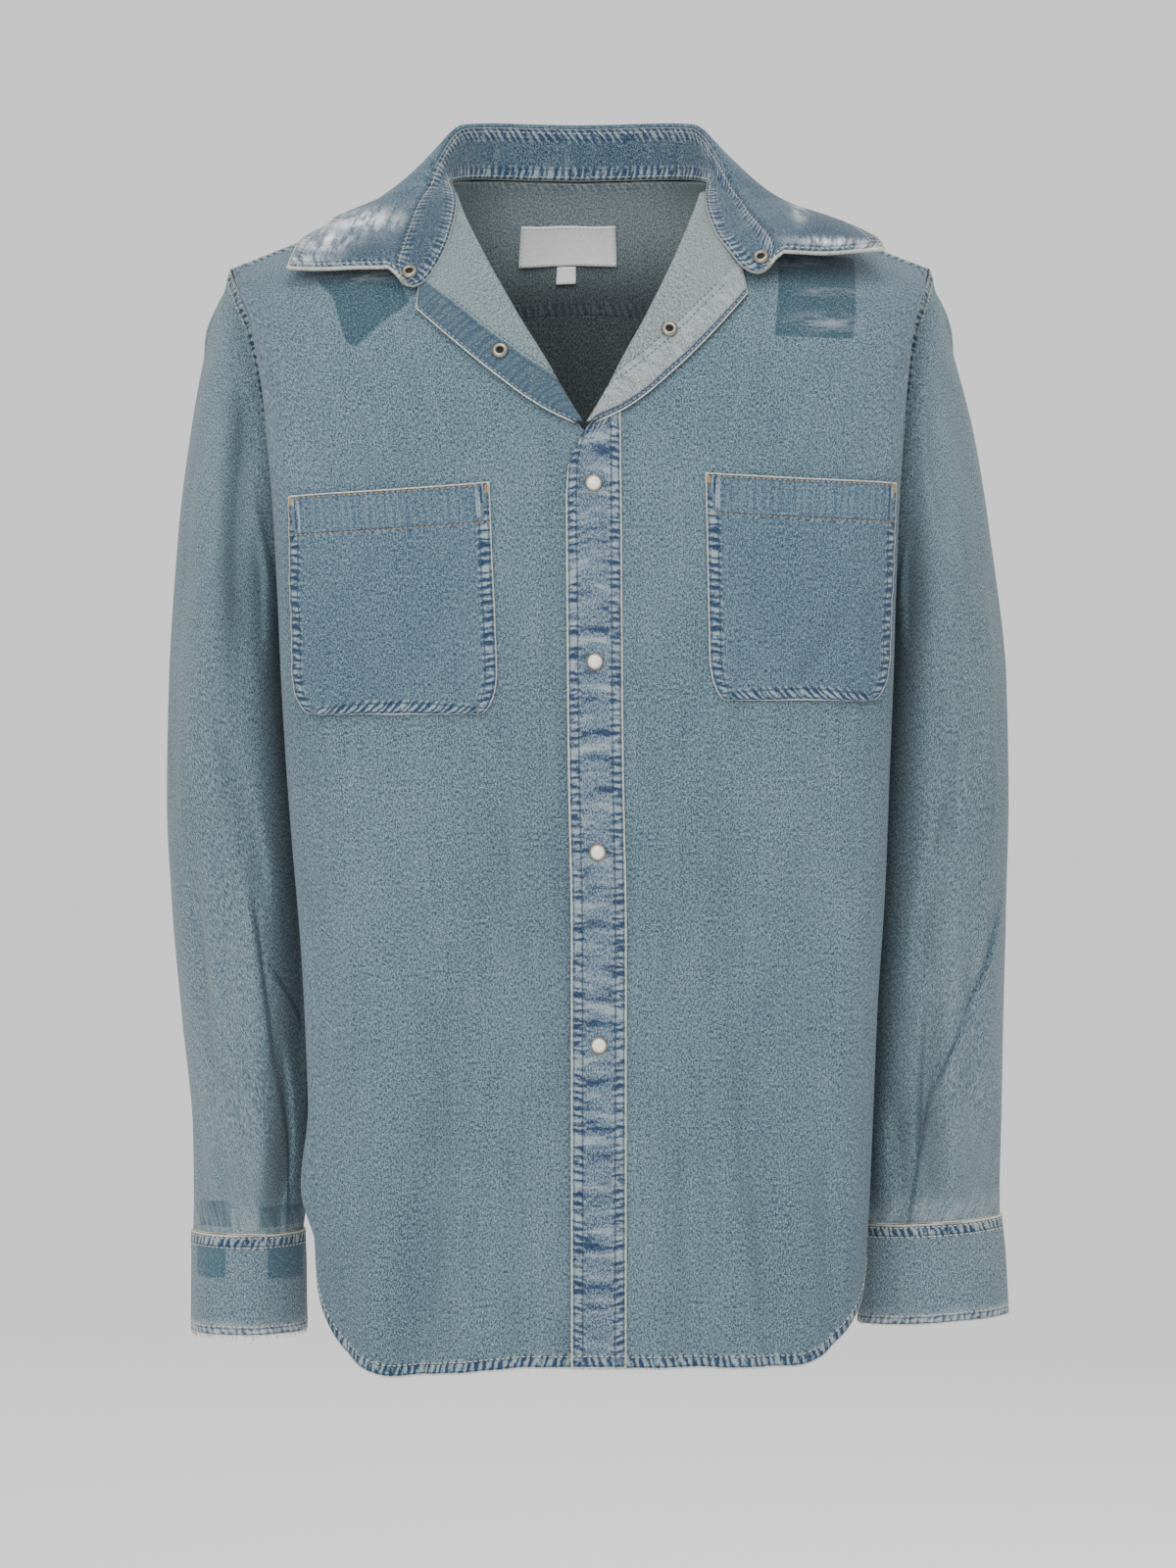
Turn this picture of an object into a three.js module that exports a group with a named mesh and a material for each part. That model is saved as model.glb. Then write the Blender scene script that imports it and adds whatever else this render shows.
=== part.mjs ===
// A long-sleeved denim shirt as it hangs on a wearer: hollow, its neck open and its sleeves at its sides.
// Millimetres, +Z up, +X to the right as seen from the front, and the front faces -Y.
// The origin is the middle of the neck, level with where the shoulder line meets it.
// Every cloth piece is a thin wall, made from a surface function of two shares (u, v) and a thickness.
import * as THREE from "three";

// Driving sizes
const CLOTH = 1.2; // one layer of denim with its weave
const DOUBLE = 2.4; // collar, stand and cuffs are two layers and a lining between
const SEAM = 0.3; // clearance between sewn pieces
const LAYER = CLOTH + SEAM; // how far a piece is moved out to lie on another
const PLACKET = { from: -13, to: 23, hem: -775.2, topLeft: -172, topRight: -152 }; // edges and ends
const SNAP = { radius: 5.6, height: 2.4, ring: 4.2, sides: 14 };
const TURN = 0.84; // share of a front's width where it turns back to the side
const SQUARE = 2.6; // squareness of the front's corner
const BACK_SQUARE = 2.3;
const ROLL = 2.2; // radius of the fold where a front turns out
const HEM_DIP = 7; // how much lower the right front's hem hangs
const HEM_KICK = 7; // how far its side stands out above the hem
const UNDER = 3.2; // how far the right front steps back to pass under the left one
const V_POINT = 0.775; // level of the lowest open point of the front
const OPEN_FROM = 0.82; // level above which both fronts' edges are the roll line
const DENIM = { blue: 0x6f93a6, dark: 0x4f7390, pale: 0x9fb0b4, metal: 0xc9c9c4, label: 0xdedcd6 };

// The body's centre line leans a little: x at height z
const CENTRE = [
  { z: -790, x: 2 },
  { z: -500, x: 2 },
  { z: -380, x: 0 },
  { z: -150, x: -2 },
  { z: -84, x: -4 },
  { z: 0, x: -6.5 },
  { z: 60, x: -6.5 },
];

// A front, by level v from hem to shoulder seam. In: its front edge or roll line; Fold: where it turns back;
// Side: its side seam or armhole; start and power: from where and how late its level rises towards the side.
const FRONT_HEIGHTS = [
  { v: 0, zIn: -776, zSide: -678, start: 0.4, power: 1.5 },
  { v: 0.14, zIn: -660, zSide: -632, start: 0.3, power: 1.5 },
  { v: 0.3, zIn: -545, zSide: -538, start: 0, power: 1 },
  { v: 0.45, zIn: -425, zSide: -425, start: 0, power: 1 },
  { v: 0.58, zIn: -325, zSide: -330, start: 0, power: 1 },
  { v: 0.66, zIn: -262, zSide: -280, start: 0, power: 1.2 },
  { v: 0.75, zIn: -190, zSide: -225, start: 0, power: 1.2 },
  { v: 0.82, zIn: -135, zSide: -178, start: 0, power: 1.2 },
  { v: 0.88, zIn: -90, zSide: -135, start: 0, power: 1.2 },
  { v: 0.93, zIn: -48, zSide: -98, start: 0, power: 1.2 },
  { v: 0.97, zIn: -16, zSide: -68, start: 0, power: 1.2 },
  { v: 1, zIn: 8, zSide: -49, start: 0, power: 1.1 },
];
const FRONT_SECTIONS = [
  { v: 0, xIn: 0, xFold: 181, xSide: 177, yIn: -108, yFold: -52, ySide: 12 },
  { v: 0.14, xIn: 0, xFold: 185, xSide: 178, yIn: -113, yFold: -56, ySide: 12 },
  { v: 0.3, xIn: 0, xFold: 189, xSide: 181, yIn: -117, yFold: -60, ySide: 12 },
  { v: 0.45, xIn: 0, xFold: 196, xSide: 187, yIn: -122, yFold: -62, ySide: 12 },
  { v: 0.58, xIn: 0, xFold: 201, xSide: 191, yIn: -126, yFold: -62, ySide: 12 },
  { v: 0.66, xIn: 0, xFold: 203, xSide: 193, yIn: -127, yFold: -62, ySide: 12 },
  { v: 0.75, xIn: 0, xFold: 205.5, xSide: 197, yIn: -125, yFold: -64, ySide: -26 },
  { v: 0.82, xIn: 21, xFold: 209, xSide: 202, yIn: -117, yFold: -66, ySide: -35 },
  { v: 0.88, xIn: 46, xFold: 213, xSide: 208, yIn: -103, yFold: -64, ySide: -34 },
  { v: 0.93, xIn: 67, xFold: 219, xSide: 215, yIn: -78, yFold: -54, ySide: -28 },
  { v: 0.97, xIn: 80, xFold: 228, xSide: 226, yIn: -36, yFold: -31, ySide: -16 },
  { v: 1, xIn: 87, xFold: 234, xSide: 234, yIn: 7, yFold: 7, ySide: 7 },
];

// The front edge below and around the V, from the centre line, for each front
const FRONT_EDGE = [
  { v: 0, left: -13, right: -22 },
  { v: 0.72, left: -13, right: -22 },
  { v: 0.745, left: -11.5, right: -16 },
  { v: 0.76, left: -7, right: -8 },
  { v: 0.775, left: -1, right: -1 },
  { v: 0.79, left: 7, right: 7 },
  { v: 0.82, left: 21, right: 21 },
];

// The back below the yoke, by level from hem to yoke seam, at its centre and its side
const BACK_HEIGHTS = [
  { v: 0, zMid: -800, zSide: -678, start: 0.4, power: 1.6 },
  { v: 0.16, zMid: -668, zSide: -632, start: 0.25, power: 1.5 },
  { v: 0.34, zMid: -545, zSide: -538, start: 0, power: 1 },
  { v: 0.5, zMid: -425, zSide: -425, start: 0, power: 1 },
  { v: 0.65, zMid: -325, zSide: -330, start: 0, power: 1 },
  { v: 0.74, zMid: -262, zSide: -280, start: 0, power: 1.2 },
  { v: 0.86, zMid: -180, zSide: -212, start: 0, power: 1.2 },
  { v: 1, zMid: -67, zSide: -118, start: 0, power: 1.3 },
];
const BACK_SECTIONS = [
  { v: 0, xSide: 177, ySide: 12, yMid: 104 },
  { v: 0.16, xSide: 178, ySide: 12, yMid: 104 },
  { v: 0.34, xSide: 181, ySide: 12, yMid: 106 },
  { v: 0.5, xSide: 187, ySide: 12, yMid: 110 },
  { v: 0.65, xSide: 191, ySide: 12, yMid: 117 },
  { v: 0.74, xSide: 193, ySide: 12, yMid: 121 },
  { v: 0.86, xSide: 195, ySide: 54, yMid: 123 },
  { v: 1, xSide: 205, ySide: 62, yMid: 118 },
];

// The yoke's upper edge, from the middle of the neck (u 0) along the neck and shoulder seam to the tip (u 1),
// with the share of a quarter turn its cloth bends through on the way up
const YOKE_TOP = [
  { u: 0, x: 0, y: 74, z: 18, bend: 0.62 },
  { u: 0.2, x: 42, y: 67, z: 18, bend: 0.66 },
  { u: 0.34, x: 72, y: 45, z: 15, bend: 0.75 },
  { u: 0.46, x: 87, y: 8.2, z: 8, bend: 0.95 },
  { u: 0.6, x: 126, y: 7.6, z: -6, bend: 1 },
  { u: 0.8, x: 180, y: 7.6, z: -27, bend: 1 },
  { u: 1, x: 234, y: 7.6, z: -49, bend: 1 },
];
const YOKE_ARM = { x: 3, y: 6 }; // how far the yoke's armhole edge bulges on its way up

// A sleeve by level from armhole to cuff seam: outer and inner point of each ring, its middle and half depth
const SLEEVE = {
  right: [
    { v: 0.12, xOut: 248, zOut: -70, xIn: 203, zIn: -284, yMid: 16, half: 60 },
    { v: 0.2, xOut: 258, zOut: -104, xIn: 203, zIn: -289, yMid: 17, half: 66 },
    { v: 0.3, xOut: 268, zOut: -158, xIn: 204, zIn: -297, yMid: 19, half: 71 },
    { v: 0.4, xOut: 277, zOut: -230, xIn: 204, zIn: -314, yMid: 21, half: 74 },
    { v: 0.5, xOut: 283.5, zOut: -325, xIn: 200, zIn: -352, yMid: 23, half: 74 },
    { v: 0.6, xOut: 285, zOut: -400, xIn: 195, zIn: -408, yMid: 24, half: 72 },
    { v: 0.72, xOut: 281, zOut: -480, xIn: 189, zIn: -483, yMid: 22, half: 69 },
    { v: 0.82, xOut: 274, zOut: -555, xIn: 186, zIn: -556, yMid: 19, half: 65 },
    { v: 0.92, xOut: 266.5, zOut: -630, xIn: 185, zIn: -630, yMid: 15, half: 59 },
    { v: 1, xOut: 265.5, zOut: -696, xIn: 193, zIn: -696, yMid: 12, half: 46 },
  ],
  left: [
    { v: 0.12, xOut: 237, zOut: -70, xIn: 203, zIn: -284, yMid: 16, half: 60 },
    { v: 0.2, xOut: 246, zOut: -104, xIn: 203, zIn: -289, yMid: 17, half: 66 },
    { v: 0.3, xOut: 260, zOut: -158, xIn: 204, zIn: -297, yMid: 19, half: 71 },
    { v: 0.4, xOut: 272, zOut: -230, xIn: 204, zIn: -314, yMid: 21, half: 74 },
    { v: 0.5, xOut: 283, zOut: -325, xIn: 200, zIn: -352, yMid: 23, half: 74 },
    { v: 0.6, xOut: 284.5, zOut: -400, xIn: 196, zIn: -408, yMid: 24, half: 71 },
    { v: 0.72, xOut: 282.5, zOut: -480, xIn: 191, zIn: -483, yMid: 22, half: 67 },
    { v: 0.82, xOut: 280.5, zOut: -555, xIn: 188, zIn: -556, yMid: 20, half: 62 },
    { v: 0.92, xOut: 279, zOut: -630, xIn: 186, zIn: -630, yMid: 18, half: 54 },
    { v: 1, xOut: 277.5, zOut: -686, xIn: 187, zIn: -692, yMid: 16, half: 40 },
  ],
};
const CUFF_DROP = 67; // height of a cuff
const CUFF_FLARE = { right: 1, left: 4 }; // how much wider a cuff is at its hem
const CUFF_LAP = 0.09; // share of the cuff's length that overlaps at its snap
const CUFF_GAP_AT = 0.64; // where round the wrist the cuff's ends meet: at the back of the inner side
const SLEEVE_FOLD = 2.6; // depth of a sleeve's long soft folds
const SLEEVE_LAP = 2.6; // how far a sleeve stands out from the armhole it is sewn to
const SLEEVE_CLEAR = 3.5; // least distance between the middles of a sleeve's wall and the body's

// The collar's long lines, by share w from the middle of the back to its front end:
// the neck seam, the fold at its top, the middle of the leaf and the leaf's edge
const COLLAR_SEAM = [
  { w: 0, x: 0, y: 75, z: 19.5 },
  { w: 0.2, x: 43, y: 68, z: 19.5 },
  { w: 0.36, x: 73, y: 45, z: 17 },
  { w: 0.5, x: 86, y: 12, z: 9 },
  { w: 0.66, x: 80, y: -27, z: -17 },
  { w: 0.82, x: 87, y: -68, z: -43 },
  { w: 0.94, x: 101, y: -90, z: -67 },
  { w: 1, x: 110, y: -97, z: -79 },
];
const COLLAR_TOP = [
  { w: 0, x: 0, y: 80, z: 56 },
  { w: 0.2, x: 45, y: 72, z: 56 },
  { w: 0.36, x: 78, y: 47, z: 52 },
  { w: 0.5, x: 95, y: 14, z: 27 },
  { w: 0.66, x: 107, y: -16, z: -7 },
  { w: 0.82, x: 118, y: -58, z: -36 },
  { w: 0.94, x: 125, y: -86, z: -54 },
  { w: 1, x: 126, y: -93, z: -62 },
];
const COLLAR_MID = [
  { w: 0, x: 0, y: 101, z: 39 },
  { w: 0.2, x: 56, y: 93, z: 38 },
  { w: 0.36, x: 97, y: 66, z: 31 },
  { w: 0.5, x: 118, y: 25, z: 12 },
  { w: 0.66, x: 136, y: -14, z: -9 },
  { w: 0.82, x: 150, y: -52, z: -33 },
  { w: 0.94, x: 156, y: -78, z: -52 },
  { w: 1, x: 158, y: -85, z: -63 },
];
const COLLAR_EDGE = [
  { w: 0, x: 0, y: 107, z: 6 },
  { w: 0.2, x: 63, y: 101, z: 4 },
  { w: 0.36, x: 113, y: 79, z: 0 },
  { w: 0.5, x: 148, y: 34, z: -12 },
  { w: 0.66, x: 172, y: -6, z: -24 },
  { w: 0.82, x: 189, y: -36, z: -40 },
  { w: 0.94, x: 194, y: -56, z: -50 },
  { w: 1, x: 197, y: -64, z: -58 },
];

const FOLD_RISE = 3.1; // how far the leaf's fold stands above the stand's top
const FACING_LIFT = 4.2; // how far the collar's ends stand out over the facings
const LEAF_CLEAR = 5.5; // least distance between the leaf and the body under it
const NECK_RISE = 10; // how much higher the left end of the collar sits

// A facing, turned out over its front: its outer edge from the V to the neck, and its top's level at the roll
const FACING_EDGE = [
  { p: 0, x: 7, z: -163 },
  { p: 0.18, x: 27, z: -154 },
  { p: 0.5, x: 60, z: -130 },
  { p: 0.75, x: 86, z: -108 },
  { p: 1, x: 108, z: -88 },
];
const FACING_TOP = 0.96;

// A pocket on its front: distances from the centre line and heights of its corners
const POCKETS = {
  right: { xIn: 62, xInLow: 57.5, xOut: 192, xOutLow: 190, zTopIn: -201, zTopOut: -208, zBottom: -351 },
  left: { xIn: 77, xInLow: 79, xOut: 200.5, xOutLow: 194, zTopIn: -195, zTopOut: -199, zBottom: -342 },
};
const POCKET_ROUND = 0.2; // share of a pocket's height taken by its rounded corners
const POCKET_CORNER = 0.2; // share of its half width that the corners take away
const PLACKET_SNAPS = [-202, -317, -440, -565];
const LAPEL_SNAPS = { right: { x: 54, z: -117 }, left: { x: 56, z: -103 } };

// Reads the columns of a table at a place, with slopes that never overshoot
function at(table, key, place) {
  const n = table.length;
  const t = Math.min(Math.max(place, table[0][key]), table[n - 1][key]);
  let i = 0;
  while (i < n - 2 && t > table[i + 1][key]) i++;
  const low = table[i];
  const high = table[i + 1];
  const span = high[key] - low[key];
  const s = (t - low[key]) / span;
  const row = {};
  for (const name of Object.keys(low)) {
    const slope = (k) => {
      if (k === 0 || k === n - 1) {
        const [a, b] = k === 0 ? [0, 1] : [n - 2, n - 1];
        return (table[b][name] - table[a][name]) / (table[b][key] - table[a][key]);
      }
      const before = (table[k][name] - table[k - 1][name]) / (table[k][key] - table[k - 1][key]);
      const after = (table[k + 1][name] - table[k][name]) / (table[k + 1][key] - table[k][key]);
      return before * after <= 0 ? 0 : (2 * before * after) / (before + after);
    };
    const rise = high[name] - low[name];
    const startSlope = slope(i) * span;
    const endSlope = slope(i + 1) * span;
    row[name] =
      low[name] +
      startSlope * s +
      (3 * rise - 2 * startSlope - endSlope) * s * s +
      (startSlope + endSlope - 2 * rise) * s * s * s;
  }
  return row;
}

const mix = (a, b, t) => a + (b - a) * t;
const smooth = (a, b, t) => {
  const s = Math.min(Math.max((t - a) / (b - a), 0), 1);
  return s * s * (3 - 2 * s);
};
const lateShare = (u, start, power) => (Math.max(u - start, 0) / (1 - start)) ** power;
const centreAt = (z) => at(CENTRE, "z", z).x;
const nameOf = (side) => (side > 0 ? "left" : "right");
const place = (side, x, y, z) => new THREE.Vector3(centreAt(z) + side * x, y, z);

// Soft vertical folds of the body, deeper towards the hem: depth at an angle share and a level
function drape(side, u, v) {
  const low = 1 - smooth(0, 0.6, v);
  const middle = side > 0 ? 0.52 : 0.42;
  return 3.2 * low * Math.sin((u - middle) * 21) * smooth(0.06, 0.25, u) * (1 - smooth(0.8, 1, u));
}

// How far a front's own edge or roll line is from the centre line
function frontEdge(side, v) {
  if (v < OPEN_FROM) return at(FRONT_EDGE, "v", v)[nameOf(side)];
  return at(FRONT_SECTIONS, "v", v).xIn;
}

// A front's surface. u runs from its front edge or roll line to its side, v from hem to shoulder seam.
function frontPoint(side, u, v) {
  const { zIn, zSide, start, power } = at(FRONT_HEIGHTS, "v", v);
  const row = at(FRONT_SECTIONS, "v", v);
  const edge = frontEdge(side, v);
  let x;
  let y;
  if (u <= TURN) {
    const angle = ((u / TURN) * Math.PI) / 2;
    x = edge + (row.xFold - edge) * Math.sin(angle) ** (2 / SQUARE);
    y = row.yFold + (row.yIn - row.yFold) * Math.max(Math.cos(angle), 0) ** (2 / SQUARE);
  } else {
    const t = (u - TURN) / (1 - TURN);
    x = row.xFold + (row.xSide - row.xFold) * t * t;
    y = mix(row.yFold, row.ySide, t);
  }
  const straight = u <= TURN ? (x - edge) / (row.xFold - edge) : 1;
  const share = mix(lateShare(u, start, power), mix(straight, u, 0.04), smooth(0.84, 1, v));
  let z = mix(zIn, zSide, share);
  y -= drape(side, u, v);
  if (side < 0) {
    const low = 1 - smooth(0.02, 0.16, v);
    const aboveHem = smooth(0.05, 0.1, v) * (1 - smooth(0.1, 0.2, v));
    z -= HEM_DIP * low * smooth(0.1, 0.4, u) * (1 - smooth(0.6, TURN, u));
    x += HEM_KICK * aboveHem * smooth(0.4, TURN, u) * (1 - smooth(TURN, 1, u));
  }
  if (side < 0) y += UNDER * (1 - smooth(17, 40, x)) * (1 - smooth(0.79, 0.85, v));
  return place(side, x, y, z);
}

// The share of a front's width that lies x from the centre line
function acrossAt(side, x, v) {
  const edge = frontEdge(side, v);
  const fold = at(FRONT_SECTIONS, "v", v).xFold;
  const part = Math.min(Math.max((x - edge) / (fold - edge), 0), 1);
  return (Math.asin(part ** (SQUARE / 2)) * TURN * 2) / Math.PI;
}

// Both shares of the front's point at x from the centre line and height z
function chestShares(side, x, z) {
  let low = 0;
  let high = 1;
  for (let i = 0; i < 24; i++) {
    const v = (low + high) / 2;
    if (frontPoint(side, acrossAt(side, x, v), v).z < z) low = v;
    else high = v;
  }
  return [acrossAt(side, x, low), low];
}

// The back's surface, below the yoke seam. u runs from the left side seam (-1) to the right one (1).
function backPoint(u, v) {
  const { zMid, zSide, start, power } = at(BACK_HEIGHTS, "v", v);
  const row = at(BACK_SECTIONS, "v", v);
  const angle = (Math.abs(u) * Math.PI) / 2;
  const x = row.xSide * Math.sin(angle) ** (2 / BACK_SQUARE);
  const y = row.ySide + (row.yMid - row.ySide) * Math.max(Math.cos(angle), 0) ** (2 / BACK_SQUARE);
  const z = mix(zMid, zSide, lateShare(Math.abs(u), start, power));
  const low = 1 - smooth(0, 0.7, v);
  return place(Math.sign(u) || 1, x, y + 3 * low * Math.sin(u * 13) * (1 - u * u), z);
}

// The yoke's surface, from the yoke seam (v 0) up to the neck and shoulder seams (v 1)
function yokePoint(u, v) {
  const side = Math.sign(u) || 1;
  const low = backPoint(u, 1);
  const top = at(YOKE_TOP, "u", Math.abs(u));
  const turn = (top.bend * Math.PI) / 2;
  const rise = Math.sin(v * turn) / Math.sin(turn);
  const run = (1 - Math.cos(v * turn)) / (1 - Math.cos(turn));
  const edge = Math.abs(u) ** 6 * Math.sin(v * Math.PI);
  const z = mix(low.z, top.z, rise);
  const x = mix(Math.abs(low.x - centreAt(low.z)), top.x, v) + YOKE_ARM.x * edge;
  return place(side, x, mix(low.y, top.y, run) + YOKE_ARM.y * edge, z);
}

// The armhole, from the shoulder tip (0) down the front to the armpit (0.5) and up the back
function armholePoint(side, share) {
  const armpitFront = 0.66;
  const armpitBack = 0.74;
  if (share <= 0.5) return frontPoint(side, 1, mix(1, armpitFront, share * 2));
  const up = (share - 0.5) * 2;
  const yokeFrom = 0.62;
  if (up < yokeFrom) return backPoint(side, mix(armpitBack, 1, up / yokeFrom));
  return yokePoint(side, (up - yokeFrom) / (1 - yokeFrom));
}

// Points of the body with their outward directions, to keep other pieces clear of it
const BODY = [];
function collect(surface, from, columns, rows) {
  const step = 1e-3;
  for (let j = 0; j <= rows; j++) {
    for (let i = 0; i <= columns; i++) {
      const u = mix(from, 1, i / columns);
      const v = mix(0.001, 0.999, j / rows);
      const across = surface(u + (u > 0.9 ? 0 : step), v).sub(surface(u - (u > 0.9 ? step : 0), v));
      const up = surface(u, v + 5e-4).sub(surface(u, v - 5e-4));
      BODY.push({ point: surface(u, v), out: across.cross(up).normalize() });
    }
  }
}
function collectBody() {
  for (const side of [-1, 1]) {
    const first = BODY.length;
    collect((u, v) => frontPoint(side, u, v), 0, 44, 110);
    if (side < 0) for (const entry of BODY.slice(first)) entry.out.negate();
  }
  const first = BODY.length;
  collect(backPoint, -1, 70, 90);
  collect(yokePoint, -1, 80, 24);
  for (const entry of BODY.slice(first)) entry.out.negate();
}

// Moves a point out until it is clear of the body
function clearOf(point, clearance) {
  if (!BODY.length) collectBody();
  let nearest = BODY[0];
  let least = Infinity;
  for (const entry of BODY) {
    const distance = entry.point.distanceToSquared(point);
    if (distance < least) [least, nearest] = [distance, entry];
  }
  const height = point.clone().sub(nearest.point).dot(nearest.out);
  return height < clearance ? point.addScaledVector(nearest.out, clearance - height) : point;
}

// A sleeve's surface. u runs once round from the top by the front, v from armhole to cuff seam.
function sleevePoint(side, u, v) {
  const table = SLEEVE[nameOf(side)];
  const first = table[0].v;
  const row = at(table, "v", Math.max(v, first));
  const angle = u * Math.PI * 2;
  const inward = (1 - Math.cos(angle)) / 2;
  const x = mix(row.xOut, row.xIn, inward);
  const z = mix(row.zOut, row.zIn, inward);
  const depth = SLEEVE_FOLD * smooth(0.3, 0.5, v) * (1 - 0.6 * smooth(0.9, 1, v));
  const fold = depth * Math.sin(angle * 5 + v * 7 + side);
  const y = row.yMid - (row.half + fold) * Math.sin(angle);
  const ring = new THREE.Vector3(side * x, y, z);
  if (v < first) ring.lerpVectors(armholePoint(side, u), ring.clone(), v / first);
  const clearance = mix(SLEEVE_LAP, SLEEVE_CLEAR, smooth(0, 0.15, v));
  const beside = Math.max(smooth(0.02, 0.3, inward), 1 - smooth(0.03, 0.1, v));
  return clearOf(ring, mix(-12, clearance, beside));
}

// A cuff's surface: a band that goes once round the wrist and laps over its own end
function cuffPoint(side, u, v) {
  const row = at(SLEEVE[nameOf(side)], "v", 1);
  const turns = u * (1 + CUFF_LAP);
  const angle = (turns + CUFF_GAP_AT) * Math.PI * 2;
  const lap = (DOUBLE + 2 * SEAM) * smooth(1 - CUFF_LAP, 1, turns);
  const flare = CUFF_FLARE[nameOf(side)] * v;
  const inward = (1 - Math.cos(angle)) / 2;
  const middle = (row.xOut + row.xIn) / 2;
  const halfWidth = (row.xOut - row.xIn) / 2 + flare + lap + 1;
  const halfDepth = row.half + lap + 1;
  const z = mix(row.zOut, row.zIn, inward) - SEAM - v * CUFF_DROP;
  return new THREE.Vector3(
    side * (middle + halfWidth * Math.cos(angle)),
    row.yMid - halfDepth * Math.sin(angle),
    z,
  );
}

// A facing, turned out to lie on its front. q below 0 is the rounded fold, then 0 to 1 out to its edge.
function facingPoint(side, q, p) {
  const edge = at(FACING_EDGE, "p", p);
  const vRoll = mix(V_POINT + 0.01, FACING_TOP, p);
  const rise = side > 0 ? NECK_RISE * p * p : 0;
  const [uEdge, vEdge] = chestShares(side, edge.x, edge.z + rise);
  const share = Math.max(q, 0);
  const [point, out, along] = panelFrame(side, mix(0, uEdge, share), mix(vRoll, vEdge, share));
  if (q >= 0) return point.addScaledVector(out, mix(2 * ROLL, 2 * LAYER + 2 * SEAM, share));
  const turn = Math.min(-q, 1) * Math.PI;
  const near = SEAM * 5 * Math.min(-q, 1) + ROLL * Math.sin(turn);
  return point.addScaledVector(out, ROLL * (1 + Math.cos(turn))).addScaledVector(along, -near);
}

// A front's point with its outward direction and the direction away from its front edge
function panelFrame(side, u, v) {
  const step = 1e-3;
  const point = frontPoint(side, u, v);
  const along = frontPoint(side, u + step, v).sub(frontPoint(side, u, v)).normalize();
  const up = frontPoint(side, u, v + step).sub(frontPoint(side, u, v - step)).normalize();
  const out = along.clone().cross(up).multiplyScalar(side).normalize();
  return [point, out, along];
}

// A point lying on a front at x from the centre line and height z, moved out
function onFront(side, x, z, lift) {
  const [point, out] = panelFrame(side, ...chestShares(side, x, z));
  return point.addScaledVector(out, lift);
}

// The collar stand and leaf, kept clear of the body and facings under them
const collarLine = (table, w) => at(table, "w", Math.abs(w));
function collarPoint(w, { x, y, z }, clearance) {
  const middle = mix(-6.5, -1.5, smooth(0.4, 1, Math.abs(w)));
  const rise = w > 0 ? NECK_RISE * smooth(0.6, 0.9, w) : 0;
  return clearOf(new THREE.Vector3(middle + (w < 0 ? -x : x), y, z + rise), clearance);
}
function standPoint(w, v) {
  const seam = collarLine(COLLAR_SEAM, w);
  const top = collarLine(COLLAR_TOP, w);
  const point = new THREE.Vector3(mix(seam.x, top.x, v), mix(seam.y, top.y, v), mix(seam.z, top.z, v));
  const lift = FACING_LIFT * smooth(0.5, 0.66, Math.abs(w));
  return collarPoint(w, point, mix(DOUBLE / 2 + CLOTH / 2 + 2 * SEAM, 3, smooth(0, 0.5, v)) + lift);
}
function leafPoint(w, v) {
  const top = collarLine(COLLAR_TOP, w);
  const middle = collarLine(COLLAR_MID, w);
  const edge = collarLine(COLLAR_EDGE, w);
  const bend = (key) => (1 - v) * (1 - v) * top[key] + 2 * v * (1 - v) * middle[key] + v * v * edge[key];
  const point = new THREE.Vector3(bend("x"), bend("y"), bend("z") + FOLD_RISE);
  const overStand = smooth(0.55, 0.7, Math.abs(w)) * (1 - smooth(0, 0.4, v));
  return collarPoint(w, point, mix(LEAF_CLEAR, LEAF_CLEAR + FACING_LIFT, overStand));
}

// A point of the yoke, moved in from its inner side
function underYoke(u, v, depth) {
  const step = 1e-3;
  const point = yokePoint(u, v);
  const across = yokePoint(u + step, v).sub(yokePoint(u - step, v));
  const up = yokePoint(u, v + step).sub(yokePoint(u, v - step));
  return point.addScaledVector(across.cross(up).normalize(), depth);
}

// A snap fastener's cap: a low dome with a rolled rim, lying flat on a surface
function snap(place3, out) {
  const { radius, height, ring } = SNAP;
  const profile = [
    [0, 0],
    [radius - 0.6, 0],
    [radius, 0.6],
    [radius, height - 0.8],
    [radius - 0.8, height],
    [ring - 0.6, height - 0.6],
    [0, height - 0.4],
  ];
  const geometry = turned(profile, SNAP.sides);
  const turn = new THREE.Quaternion().setFromUnitVectors(new THREE.Vector3(0, 0, 1), out);
  geometry.applyQuaternion(turn);
  geometry.translate(place3.x, place3.y, place3.z);
  return geometry;
}

// A solid turned about its axis, closed at both ends
function turned(profile, sides) {
  const positions = [];
  const indices = [];
  const last = profile.length - 1;
  positions.push(0, 0, profile[0][1], 0, 0, profile[last][1]);
  for (let k = 1; k < last; k++) {
    for (let i = 0; i < sides; i++) {
      const angle = (i / sides) * Math.PI * 2;
      positions.push(profile[k][0] * Math.cos(angle), profile[k][0] * Math.sin(angle), profile[k][1]);
    }
  }
  const index = (k, i) => 2 + (k - 1) * sides + (i % sides);
  for (let i = 0; i < sides; i++) {
    indices.push(0, index(1, i + 1), index(1, i), 1, index(last - 1, i), index(last - 1, i + 1));
    for (let k = 1; k < last - 1; k++) {
      const across = index(k + 1, i + 1);
      indices.push(index(k, i), index(k, i + 1), across, index(k, i), across, index(k + 1, i));
    }
  }
  return outward(positions, indices);
}

// The place and outward direction of a surface at (u, v), for a snap on it
function seat(surface, u, v, lift, flip = 1) {
  const step = 1e-3;
  const across = surface(u + step, v).sub(surface(u - step, v));
  const up = surface(u, v + step).sub(surface(u, v - step));
  const out = across.cross(up).normalize().multiplyScalar(flip);
  return [surface(u, v).addScaledVector(out, lift), out];
}

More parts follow.
